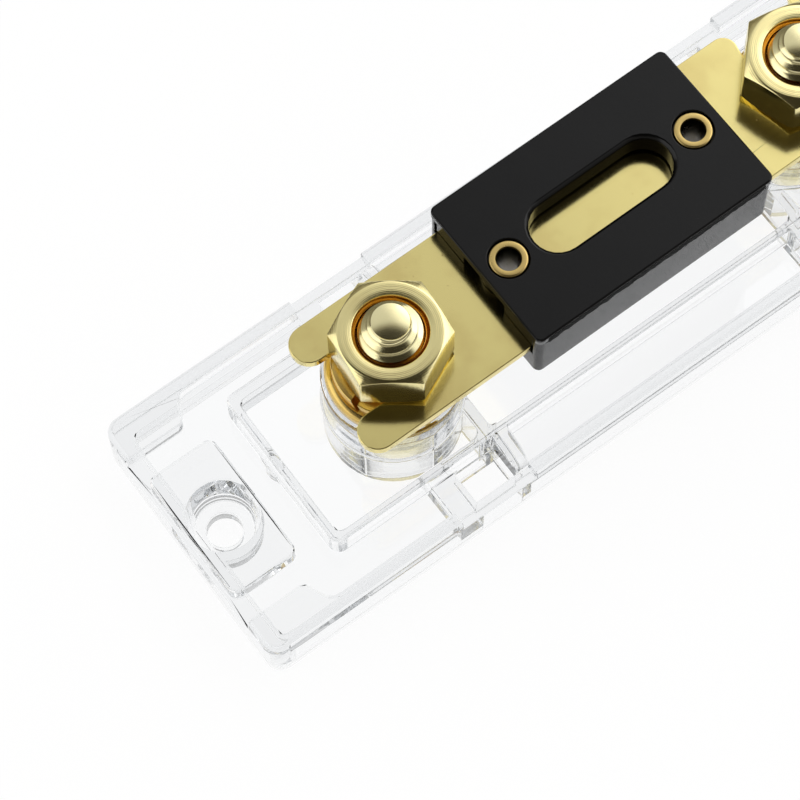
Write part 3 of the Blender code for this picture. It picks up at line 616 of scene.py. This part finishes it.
blade_mesh = softened("fuse_blade", BLADE_ROUND, segments=3)
dress("gold_blade", blade_mesh, blade_metal, "fuse_blade")
dress("body_tray", softened("fuse_body_tray", BODY_ROUND), satin_black, "fuse_body_tray")
dress("body_lid", softened("fuse_body_lid", BODY_ROUND), satin_black, "fuse_body_lid")

# %% [markdown]
# ## Trees that model
# Where a shape follows a rule, Geometry Nodes can grow it. Such a tree has named inputs for its
# sizes and its material, and gives one mesh. It ends by making everything real and setting the
# material, and what it gives is then kept as a plain mesh.

# %% The start, the end and the harvest


def modelling_tree(name, numbers):
    """A Geometry Nodes group with its inputs, their identifiers, its tree and their signals."""
    group = bpy.data.node_groups.new(name, "GeometryNodeTree")
    kinds = {**dict.fromkeys(numbers, "NodeSocketFloat"), "material": "NodeSocketMaterial"}
    ids = {}
    for title, kind in kinds.items():
        socket = group.interface.new_socket(title, in_out="INPUT", socket_type=kind)
        ids[title] = socket.identifier
    group.interface.new_socket("mesh", in_out="OUTPUT", socket_type="NodeSocketGeometry")
    tree = Tree(group)
    given = tree.node("NodeGroupInput").socket.node
    return group, ids, tree, {title: Signal(tree, given.outputs[title]) for title in ids}


def give_out(tree, geometry, material):
    """Ends a tree with real geometry and its material."""
    real = tree.node("GeometryNodeRealizeInstances", None, {"Geometry": geometry})
    sockets = {"Geometry": real, "Material": material}
    tree.node("NodeGroupOutput", None, {0: tree.node("GeometryNodeSetMaterial", None, sockets)})


def grown(group, ids, values):
    """The mesh that a Geometry Nodes group makes with the given inputs."""
    thing = linked("in_work", bpy.data.meshes.new("in_work"))
    modifier = thing.modifiers.new("grown", "NODES")
    modifier.node_group = group
    for name, value in values.items():
        modifier[ids[name]] = value
    mesh = evaluated(thing)
    bpy.data.objects.remove(thing)
    return mesh


print("helpers ready:", [helper.__name__ for helper in (modelling_tree, give_out, grown)])

# %% [markdown]
# ## Flash on the seam
# Along the front of the lid some plastic crept out of the mould and hangs as a ragged black
# fringe, matt because a knife trimmed it. It follows a straight seam but its depth is chance. So a
# strip of grid is folded into a thin closed band, and noise that is read along a fixed line says
# how far the band hangs down. The fixed line is the seed: each run gives the same fringe.
# Round the band, rows 1 and 2 hang and the others stay at its top, and rows 2 and 3 lie outside
# and the others against the lid. Row 4 meets row 0, and welding closes the band there.

# %% A tree that hangs a fringe
FRINGE_STEPS = 360
BAND_SIDES = 4
HANGING_ROWS, OUTSIDE_ROWS, EITHER_SIDE = 1.5, 2.5, 0.6
SEED_LINE = 3.7
COARSE_NOISE, FINE_NOISE = 0.55, 2.6
EVEN_HANG, COARSE_HANG, FINE_HANG = 0.25, 0.45, 0.3
END_TAPER = 30
BAND_WELD = 0.0005 * MM


def flash_tree():
    """Geometry Nodes that make a thin band along a line, hanging down by noise."""
    numbers = ("length", "side", "top", "drop", "hang", "thick", "along_x", "along_y", "x", "y")
    group, ids, tree, size = modelling_tree("ragged_flash", numbers)
    sheet = {"Size X": 1.0, "Size Y": 1.0}
    sheet.update({"Vertices X": FRINGE_STEPS + 1, "Vertices Y": BAND_SIDES + 1})
    grid = tree.node("GeometryNodeMeshGrid", None, sheet, "Mesh")

    share, across, _ = tree.split(tree.node("GeometryNodeInputPosition"))
    row = ((across + 0.5) * BAND_SIDES).math("ROUND")
    outside = (row - OUTSIDE_ROWS).math("ABSOLUTE").math("LESS_THAN", EITHER_SIDE)
    hanging = (row - HANGING_ROWS).math("ABSOLUTE").math("LESS_THAN", EITHER_SIDE)

    along = share * size["length"]
    spot = tree.joined(along / MM, SEED_LINE)
    coarse, fine = (
        tree.node("ShaderNodeTexNoise", None, {"Vector": spot, "Scale": scale, "Detail": 2.0})
        for scale in (COARSE_NOISE, FINE_NOISE)
    )
    to_end = ((0.5 - share.math("ABSOLUTE")) * END_TAPER).clamped()
    uneven = EVEN_HANG + coarse.smooth(0.42, 0.62) * COARSE_HANG
    ragged = (uneven + fine.smooth(0.4, 0.65) * FINE_HANG) * to_end

    out = size["side"] + size["thick"] * outside * to_end
    height = size["top"] - (size["drop"] + size["hang"] * ragged) * hanging
    x = size["x"] + size["along_x"] * along + size["along_y"] * out
    y = size["y"] + size["along_y"] * along - size["along_x"] * out
    moved = {"Geometry": grid, "Position": tree.joined(x, y, height)}
    band = tree.node("GeometryNodeSetPosition", None, moved)
    closing = {"Geometry": band, "Distance": BAND_WELD}
    closed_band = tree.node("GeometryNodeMergeByDistance", None, closing)
    give_out(tree, closed_band, size["material"])
    return group, ids


flash_group, flash_ids = flash_tree()
print("inputs of the fringe:", sorted(flash_ids))

# %% The fringe under the lid
SEAM_DROP = 1.2 * MM
TOP_EDGE = 0.34 * MM
LID_HALF_WIDTH = 10.85 * MM
LID_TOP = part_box("fuse_body_lid")[1].z
FRINGE_LENGTH = 34.4 * MM
FRINGE_HANG = 0.6 * MM
FRINGE_THICK = 0.09 * MM
FRINGE_SINK = 0.06 * MM

first, last = EYELETS
middle = (first + last) / 2
seam = (last - first).normalized()
fringe_mesh = grown(flash_group, flash_ids, {
    "length": FRINGE_LENGTH,
    "side": LID_HALF_WIDTH - FRINGE_SINK,
    "top": LID_TOP - TOP_EDGE,
    "drop": SEAM_DROP - TOP_EDGE,
    "hang": FRINGE_HANG,
    "thick": FRINGE_THICK,
    "along_x": seam.x,
    "along_y": seam.y,
    "x": middle.x,
    "y": middle.y,
    "material": matt_black,
})
fringe = linked("seam_flash", fringe_mesh)
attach(fringe, BODY_OF["fuse_body_lid"])
print("seam_flash: %d faces" % len(fringe_mesh.polygons))

# %% [markdown]
# ## Nuts
# A hex nut is a hexagon whose corners a lathe has trimmed to a 30 degree cone on both faces. We
# make it directly: at each angle the profile runs out to the hexagon, and the cone cuts it lower
# where the hexagon reaches further. The corner is a small arc, so that it shows as a thin bright
# line.

# %% The hexagon's reach
ACROSS_FLATS = 13.0 * MM
APOTHEM = ACROSS_FLATS / 2
HEX_CORNER = 0.35 * MM
FACE_STEP = 0.2 * MM
FACE_RADIUS = APOTHEM - FACE_STEP
CHAMFER_SLOPE = math.tan(math.radians(30))
SIXTH = math.pi / 3
FLAT_END = math.atan2((APOTHEM - HEX_CORNER) * math.tan(SIXTH / 2), APOTHEM)
FLAT_STEPS = 12
CORNER_STEPS = 8


def hex_reach(angle):
    """How far a hexagon with round corners reaches at an angle from the middle of a flat."""
    from_flat = (angle + SIXTH / 2) % SIXTH - SIXTH / 2
    if abs(from_flat) <= FLAT_END:
        return APOTHEM / math.cos(from_flat)
    centre = (APOTHEM - HEX_CORNER) / math.cos(SIXTH / 2)
    from_corner = SIXTH / 2 - abs(from_flat)
    across = centre * math.sin(from_corner)
    return centre * math.cos(from_corner) + math.sqrt(HEX_CORNER ** 2 - across ** 2)


def hex_angles():
    """Angles from the middle of a flat all the way round, closer together at the corners."""
    on_flat = [FLAT_END * (step / (FLAT_STEPS / 2) - 1) for step in range(FLAT_STEPS)]
    corner = SIXTH - 2 * FLAT_END
    on_corner = [FLAT_END + corner * step / CORNER_STEPS for step in range(CORNER_STEPS)]
    return [local + sixth * SIXTH for sixth in range(6) for local in on_flat + on_corner]


def hex_skin(name, centre, turn, profile_at, closed):
    """A piece on a hexagon. profile_at gives (radius, height) points for the hexagon's reach."""
    columns = []
    for angle in hex_angles():
        points = profile_at(hex_reach(angle))
        columns.append([around(centre, radius, angle + turn, z) for radius, z in points])
    return skinned(name, list(zip(*columns)), closed)


print("the hexagon reaches %.2f mm at a corner" % (hex_reach(SIXTH / 2) / MM))

# %% Two nuts
BORE_RADIUS = 4.1 * MM
COUNTERSINK = 0.56 * MM
EDGE_ROUND = 0.09 * MM
NUT_SHARP_ABOVE = math.radians(24)
NUT_TURN = {"left": math.radians(-5), "right": math.radians(17)}


def nut_mesh(side):
    """A nut with a cone and a countersink on both faces."""
    centre, low, high = axis_of("nut_" + side)

    def profile(reach):
        drop = (reach - FACE_RADIUS) * CHAMFER_SLOPE
        points = [
            (BORE_RADIUS, low + COUNTERSINK),
            (BORE_RADIUS + COUNTERSINK, low),
            (FACE_RADIUS, low),
            (reach, low + drop),
            (reach, high - drop),
            (FACE_RADIUS, high),
            (BORE_RADIUS + COUNTERSINK, high),
            (BORE_RADIUS, high - COUNTERSINK),
        ]
        return eased(points, EDGE_ROUND)

    mesh = hex_skin("nut", centre, NUT_TURN[side], profile, closed=True)
    return smoothed(mesh, NUT_SHARP_ABOVE)


for side in ("left", "right"):
    dress("hex_nut_" + side, nut_mesh(side), nut_metal, "nut_" + side)

# %% [markdown]
# ## Washers
# Under each nut and the blade lie a spring washer, which is a ring cut through on a slant, and a
# flat washer with a turned bevel. The flat one is a turned profile. The other one is the same skin
# carried almost all the way round, with a flat face at each end.

# %% Flat washers
WASHER_RADIUS = 8.2 * MM
WASHER_BEVEL = 0.7 * MM
BEVEL_BULGE = 0.3 * WASHER_BEVEL
TURNED_SHARP_ABOVE = math.radians(35)

for side in ("left", "right"):
    centre, low, high = axis_of("flat_washer_" + side)
    outline = [
        (BORE_RADIUS, low),
        (WASHER_RADIUS, low),
        (WASHER_RADIUS, high - WASHER_BEVEL),
        (WASHER_RADIUS - BEVEL_BULGE, high - BEVEL_BULGE),
        (WASHER_RADIUS - WASHER_BEVEL, high),
        (BORE_RADIUS, high),
    ]
    ring = smoothed(turned("flat_washer", eased(outline, EDGE_ROUND), centre), TURNED_SHARP_ABOVE)
    dress("turned_washer_" + side, ring, washer_metal, "flat_washer_" + side)

# %% Spring washers
SPRING_RADIUS = 7.35 * MM
SPRING_ROUND = 0.16 * MM
SLIT = 0.9 * MM
SLIT_SLANT = math.radians(25)
SLIT_ANGLE = math.radians(200)


def spring_mesh(side, steps=120):
    """A ring that stops short of itself, with both ends cut on a slant."""
    centre, low, high = axis_of("spring_washer_" + side)
    corners = [(BORE_RADIUS, low), (SPRING_RADIUS, low), (SPRING_RADIUS, high), (BORE_RADIUS, high)]
    outline = eased(corners, SPRING_ROUND, steps=3)
    half = SLIT / 2 / math.cos(SLIT_SLANT)

    def angle_of(share, radius, height):
        lean = -math.tan(SLIT_SLANT) * (height - (low + high) / 2)
        start = (lean + half) / radius
        end = 2 * math.pi + (lean - half) / radius
        return SLIT_ANGLE + start + (end - start) * share

    loops = []
    for step in range(steps + 1):
        share = step / steps
        loops.append([around(centre, r, angle_of(share, r, z), z) for r, z in outline])
    return smoothed(skinned("spring_washer", loops, closed=False), TURNED_SHARP_ABOVE)


for side in ("left", "right"):
    dress("split_washer_" + side, spring_mesh(side), washer_metal, "spring_washer_" + side)

# %% [markdown]
# ## Bolts
# The bolts stand head down in the towers, and their threads come up through washers, blade and
# nut. A thread follows a rule, so Geometry Nodes make it: a flat grid is rolled up, and each step
# round lifts it by a share of the pitch. The row that a point is in says how deep it lies in the
# groove. Where the grid would pass the tip or the foot it is held there. A flat disc shuts the
# foot, a low dome shuts the tip, and welding makes one skin of the three.

# %% A tree that rolls a thread
ROUND_STEPS = 64
ROWS_A_TURN = 8
DOME_RINGS = 6
THREAD_FADES = 5
ROD_WELD = 0.002 * MM


def thread_tree():
    """Geometry Nodes that make a threaded rod with a domed tip, from its foot to its tip."""
    sizes = ("foot", "tip", "pitch", "radius", "depth", "tip_radius", "taper", "sag", "turns")
    group, ids, tree, size = modelling_tree("threaded_rod", (*sizes, "x", "y"))
    foot, tip, pitch, radius, depth, tip_radius = (size[name] for name in sizes[:6])

    rows = size["turns"] * ROWS_A_TURN + 1
    sheet = {"Size X": 1.0, "Size Y": 1.0, "Vertices X": ROUND_STEPS + 1, "Vertices Y": rows}
    grid = tree.node("GeometryNodeMeshGrid", None, sheet, "Mesh")
    sideways, upward, _ = tree.split(tree.node("GeometryNodeInputPosition"))
    share = sideways + 0.5
    row = ((upward + 0.5) * (rows - 1)).math("ROUND")
    lifted = foot - pitch + pitch * (row / ROWS_A_TURN + share)
    height = lifted.math("MAXIMUM", foot).math("MINIMUM", tip)

    half_turn = ROWS_A_TURN / 2
    from_ridge = (row % ROWS_A_TURN - half_turn).math("ABSOLUTE")
    flank = ((from_ridge - 1) / (half_turn - 1)).clamped()
    below_tip = ((tip - height) / size["taper"]).clamped()
    pointed = tip_radius + (radius - tip_radius) * below_tip
    threaded = pointed - depth * (1 - flank) * (below_tip * THREAD_FADES).clamped()
    run_out = radius - depth + (height - foot)
    reach = threaded.math("MINIMUM", run_out)
    angle = share * (2 * math.pi)
    point = tree.joined(reach * angle.math("COSINE"), reach * angle.math("SINE"), height)
    skin = tree.node("GeometryNodeSetPosition", None, {"Geometry": grid, "Position": point})

    cone = {"Vertices": ROUND_STEPS, "Side Segments": DOME_RINGS, "Radius Top": 0.0}
    cone.update({"Radius Bottom": tip_radius, "Depth": tip_radius})
    dome = tree.node("GeometryNodeMeshCone", {"fill_type": "NONE"}, cone)
    x, y, _ = tree.split(tree.node("GeometryNodeInputPosition"))
    part_out = (x * x + y * y) / (tip_radius * tip_radius)
    domed = tree.joined(x, y, tip + size["sag"] * (1 - part_out))
    dome = tree.node("GeometryNodeSetPosition", None, {"Geometry": dome, "Position": domed})

    rim = {"Vertices": ROUND_STEPS, "Radius": radius - depth}
    disc = tree.node("GeometryNodeMeshCircle", {"fill_type": "NGON"}, rim)
    lowered = {"Geometry": disc, "Translation": tree.joined(z=foot)}
    disc = tree.node("GeometryNodeTransform", None, lowered)
    disc = tree.node("GeometryNodeFlipFaces", None, {"Mesh": disc})

    join = tree.node("GeometryNodeJoinGeometry").socket.node
    for part in (disc, dome, skin):
        tree.links.new(part.socket, join.inputs[0])
    closing = {"Geometry": Signal(tree, join.outputs[0]), "Distance": ROD_WELD}
    rod = tree.node("GeometryNodeMergeByDistance", None, closing)
    stood = {"Geometry": rod, "Translation": tree.joined(size["x"], size["y"])}
    give_out(tree, tree.node("GeometryNodeTransform", None, stood), size["material"])
    return group, ids


rod_group, rod_ids = thread_tree()
print("inputs of the rod:", sorted(rod_ids))

# %% Two bolts
PITCH = 1.25 * MM
THREAD_RADIUS = 3.94 * MM
THREAD_DEPTH = 0.5 * MM
TIP_RADIUS = 2.3 * MM
TIP_TAPER = 3.0 * MM
TIP_SAG = 0.22 * MM
TIP_SHORT = 0.25 * MM
HEAD_HEIGHT = 5.3 * MM
HEAD_SINK = 0.6 * MM
HEAD_FLAT = FACE_RADIUS - MM


def bolt_head(side):
    """The hexagonal head, with its lower face trimmed to a cone and its upper face flat."""
    centre, low, _ = axis_of("stud_bolt_" + side)

    def profile(reach):
        drop = (reach - FACE_RADIUS) * CHAMFER_SLOPE
        top = low + HEAD_HEIGHT
        face = [(HEAD_FLAT, low), (FACE_RADIUS, low), (reach, low + drop), (reach, top)]
        return eased(face + [(HEAD_FLAT, top)], EDGE_ROUND, closed=False)

    return hex_skin("bolt_head", centre, 0.0, profile, closed=False)


def bolt_mesh(side):
    """The rod grown from the tree and joined to the head. Its foot is sunk in the head."""
    centre, low, high = axis_of("stud_bolt_" + side)
    foot = low + HEAD_HEIGHT - HEAD_SINK
    rod = grown(rod_group, rod_ids, {
        "foot": foot,
        "tip": high - TIP_SAG - TIP_SHORT,
        "pitch": PITCH,
        "radius": THREAD_RADIUS,
        "depth": THREAD_DEPTH,
        "tip_radius": TIP_RADIUS,
        "taper": TIP_TAPER,
        "sag": TIP_SAG,
        "turns": math.ceil((high - foot) / PITCH) + 1,
        "x": centre.x,
        "y": centre.y,
        "material": bolt_metal,
    })
    rod_thing = linked("rod_in_work", rod)
    union = {"object": rod_thing, "operation": "UNION", "solver": "EXACT"}
    bolt = modified(bolt_head(side), "BOOLEAN", union)
    bpy.data.objects.remove(rod_thing)
    return smoothed(bolt, TURNED_SHARP_ABOVE)


for side in ("left", "right"):
    dress("threaded_bolt_" + side, bolt_mesh(side), bolt_metal, "stud_bolt_" + side)

# %% [markdown]
# ## Eyelets
# Two tubular rivets hold the body together. Their rims were rolled over by a press, so the profile
# is a half round above and below, with the thin tube between them.

# %% Rolled eyelets
EYELET_BORE = 1.5 * MM
EYELET_WALL = 0.4 * MM
RIM_RADIUS = 2.4 * MM
ROLL = 0.25 * MM
ROLL_STEPS = 8
MOUTH_FLARE = 0.1 * MM
MOUTH_DEPTH = 0.04 * MM
EYELET_SHARP_ABOVE = math.radians(40)


def eyelet_profile(low, high):
    """A thin tube with a rolled rim at both ends."""

    def rolled(height):
        turns = [math.pi / 2 - math.pi * step / ROLL_STEPS for step in range(ROLL_STEPS + 1)]
        middle = RIM_RADIUS - ROLL
        return [(middle + ROLL * math.cos(a), height + ROLL * math.sin(a)) for a in turns]

    tube = EYELET_BORE + EYELET_WALL
    mouth = EYELET_BORE + MOUTH_FLARE
    outside = rolled(high - ROLL) + [(tube, high - 2 * ROLL), (tube, low + 2 * ROLL)]
    inside = [(mouth, low + MOUTH_DEPTH), (EYELET_BORE, low + ROLL)]
    inside += [(EYELET_BORE, high - ROLL), (mouth, high - MOUTH_DEPTH)]
    return outside + rolled(low + ROLL) + inside


for side in ("left", "right"):
    centre, low, high = axis_of("eyelet_" + side)
    ring = turned("eyelet", eyelet_profile(low, high), centre, steps=72)
    ring = smoothed(ring, EYELET_SHARP_ABOVE)
    dress("rolled_eyelet_" + side, ring, eyelet_metal, "eyelet_" + side)

# %% [markdown]
# ## Studio
# The part stands on a white table in very soft light. The camera sees the table as plain white,
# and so, near the part, do the metal's reflections and what shows through the clear plastic.
# Further out the table darkens for those two, because polished metal needs something dark to show.
# A share of plain diffuse is kept in the table, and that is what holds the soft shadow.

# %% Floor
FLOOR_SIZE = 3.0
LIT_RADIUS = 0.09
DARK_RADIUS = FLOOR_SIZE * 0.2
WHITE = (1.0, 1.0, 1.0)
FAR_GREY = (0.22, 0.22, 0.23)
PAPER = ((0.93, 0.93, 0.93), (0.95, 0.95, 0.95))
GLOW = 1.04
CAMERA_GLOW, GLOSSY_GLOW, CLEAR_GLOW = 0.9, 0.8, 0.6
CLEAR_DARKENS = 0.5


def floor_material():
    """Paper that glows by a share that depends on the kind of ray."""
    tree = Pattern("white_table")
    seen = tree.node("ShaderNodeLightPath").socket.node
    kinds = ("Is Camera Ray", "Is Glossy Ray", "Is Transmission Ray")
    camera_ray, glossy_ray, clear_ray = (Signal(tree, seen.outputs[kind]) for kind in kinds)
    x, y, _ = tree.axes()
    away = (x * x + y * y).math("SQRT")
    edge = away.smooth(LIT_RADIUS, DARK_RADIUS) * (glossy_ray + clear_ray * CLEAR_DARKENS)
    lit = tree.mixed(edge, WHITE, FAR_GREY)
    paper = tree.mixed(tree.noise(0.02, detail=1.0), *PAPER)
    diffuse = tree.node("ShaderNodeBsdfDiffuse", None, {"Color": paper})
    glow = tree.node("ShaderNodeEmission", None, {"Color": lit, "Strength": GLOW})
    share = camera_ray * CAMERA_GLOW + glossy_ray * GLOSSY_GLOW + clear_ray * CLEAR_GLOW
    return tree.finish(tree.node("ShaderNodeMixShader", None, {0: share, 1: diffuse, 2: glow}))


bm = bmesh.new()
bmesh.ops.create_grid(bm, x_segments=1, y_segments=1, size=FLOOR_SIZE / 2)
floor_mesh = mesh_of(bm, "table_top")
floor_mesh.materials.append(floor_material())
floor = linked("table_top", floor_mesh)
print("the table is %.1f m wide" % FLOOR_SIZE)

# %% [markdown]
# ## Light
# Polished metal shows whatever stands round it, so the world matters as much as the lamps. It is a
# dim room with a bright ceiling and a bright panel high on the right. Within about 40 degrees of
# where the photograph was taken from it is nearly black, as if a dark camera stood there, and that
# puts the dark sides in the metal. The dimmer the room, the warmer it is. Rays that went through
# clear plastic find it no darker than a middle level, and for camera rays it is plain white.
# Two large square lamps, one on the left and one on the right, add soft light of their own.

# %% World
VIEWER = Vector((-0.21, -0.32, 0.92)).normalized()
DARK_OUTSIDE = math.cos(math.radians(45))
DARK_INSIDE = math.cos(math.radians(35))
DARKNESS = 0.95
ROOM_LIGHT, CEILING_LIGHT, PANEL_LIGHT = 0.12, 0.54, 0.50
CEILING_FADES = (0.02, 0.75)
PANEL_SIDE_FADES, PANEL_FOOT_FADES = (0.22, 0.42), (0.1, 0.5)
CLEAR_LEVEL = 0.5
NEUTRAL_FROM = 0.6
DIM_GREEN, DIM_BLUE = 0.90, 0.66

world = bpy.data.worlds.new("studio")
bpy.context.scene.world = world
world.use_nodes = True
world.node_tree.nodes.clear()
room = Tree(world.node_tree)
to_right, to_back, to_top = room.split(room.node("ShaderNodeTexCoord", output="Generated"))
ceiling = to_top.smooth(*CEILING_FADES)
right_panel = to_right.smooth(*PANEL_SIDE_FADES) * to_top.smooth(*PANEL_FOOT_FADES)
to_viewer = to_right * VIEWER.x + to_back * VIEWER.y + to_top * VIEWER.z
viewer_dark = to_viewer.smooth(DARK_OUTSIDE, DARK_INSIDE)
bright = ROOM_LIGHT + ceiling * CEILING_LIGHT + right_panel * PANEL_LIGHT
for_metal = bright * (1 - viewer_dark * DARKNESS)
through_clear = room.node("ShaderNodeLightPath", output="Is Transmission Ray")
level = for_metal.math("MAXIMUM", through_clear * CLEAR_LEVEL)
neutral = level.smooth(0.0, NEUTRAL_FROM)
green = level * (DIM_GREEN + neutral * (1 - DIM_GREEN))
blue = level * (DIM_BLUE + neutral * (1 - DIM_BLUE))
seen_by_camera = room.node("ShaderNodeLightPath", output="Is Camera Ray")
room_color = room.mixed(seen_by_camera, room.joined(level, green, blue), WHITE)
background = room.node("ShaderNodeBackground", None, {"Color": room_color, "Strength": 1.0})
room.node("ShaderNodeOutputWorld", None, {"Surface": background})
print("the room has", len(room.nodes), "nodes")

# %% Lamps
LAMP_SIZE = 1.1


def softbox(name, place, target, power):
    """A square lamp that shines from a place to a target."""
    data = bpy.data.lights.new(name, "AREA")
    data.shape = "SQUARE"
    data.size = LAMP_SIZE
    data.energy = power
    lamp = linked(name, data)
    lamp.location = place
    lamp.rotation_euler = (Vector(target) - Vector(place)).to_track_quat("-Z", "Y").to_euler()


softbox("lamp_left", place=(-0.85, 0.35, 0.35), target=(0, 0, 0), power=3.2)
softbox("lamp_right", place=(0.80, 0.05, 0.50), target=(0, 0, 0.02), power=3.6)

# %% [markdown]
# ## Camera
# It looks down steeply from the front left, from a little over 40 cm, as the photograph does. The
# far end of the base runs out of the picture. A small shift frames it without tilting the camera.

# %% Camera
AZIMUTH = math.radians(-33.20)
ELEVATION = math.radians(67.41)
CAMERA_ROLL = math.radians(-3.04)
DISTANCE = 420.0 * MM
LOOK_AT = Vector((-25.88 * MM, 13.63 * MM, 0.0))
FOCAL_PIXELS = 3321.0
IMAGE_PIXELS = 800
CENTRE_PIXEL = (360, 320)
SENSOR = 36.0
UPRIGHT = Vector((0, 0, 1))

back = Vector((
    math.sin(AZIMUTH) * math.cos(ELEVATION),
    -math.cos(AZIMUTH) * math.cos(ELEVATION),
    math.sin(ELEVATION),
))
level_right = (-back).cross(UPRIGHT).normalized()
level_up = level_right.cross(-back)
right = level_right * math.cos(CAMERA_ROLL) + level_up * math.sin(CAMERA_ROLL)
up = level_up * math.cos(CAMERA_ROLL) - level_right * math.sin(CAMERA_ROLL)

lens = bpy.data.cameras.new("camera")
lens.sensor_width = SENSOR
lens.lens = FOCAL_PIXELS / IMAGE_PIXELS * SENSOR
lens.shift_x = (IMAGE_PIXELS / 2 - CENTRE_PIXEL[0]) / IMAGE_PIXELS
lens.shift_y = (CENTRE_PIXEL[1] - IMAGE_PIXELS / 2) / IMAGE_PIXELS
camera = linked("camera", lens)
facing = Matrix((right, up, back)).transposed().to_4x4()
camera.matrix_world = Matrix.Translation(LOOK_AT + back * DISTANCE) @ facing
bpy.context.scene.camera = camera
print("lens %.0f mm, shift %.3f %.3f" % (lens.lens, lens.shift_x, lens.shift_y))

# %% [markdown]
# ## Bounces
# A ray crosses many walls of clear plastic before it comes out again, so it gets many bounces.

# %% Render settings
scene = bpy.context.scene
scene.view_settings.view_transform = "Standard"
scene.cycles.max_bounces = 32
scene.cycles.transmission_bounces = 28
scene.cycles.transparent_max_bounces = 24
scene.cycles.glossy_bounces = 24
scene.cycles.diffuse_bounces = 3
scene.cycles.caustics_refractive = True
scene.cycles.caustics_reflective = True
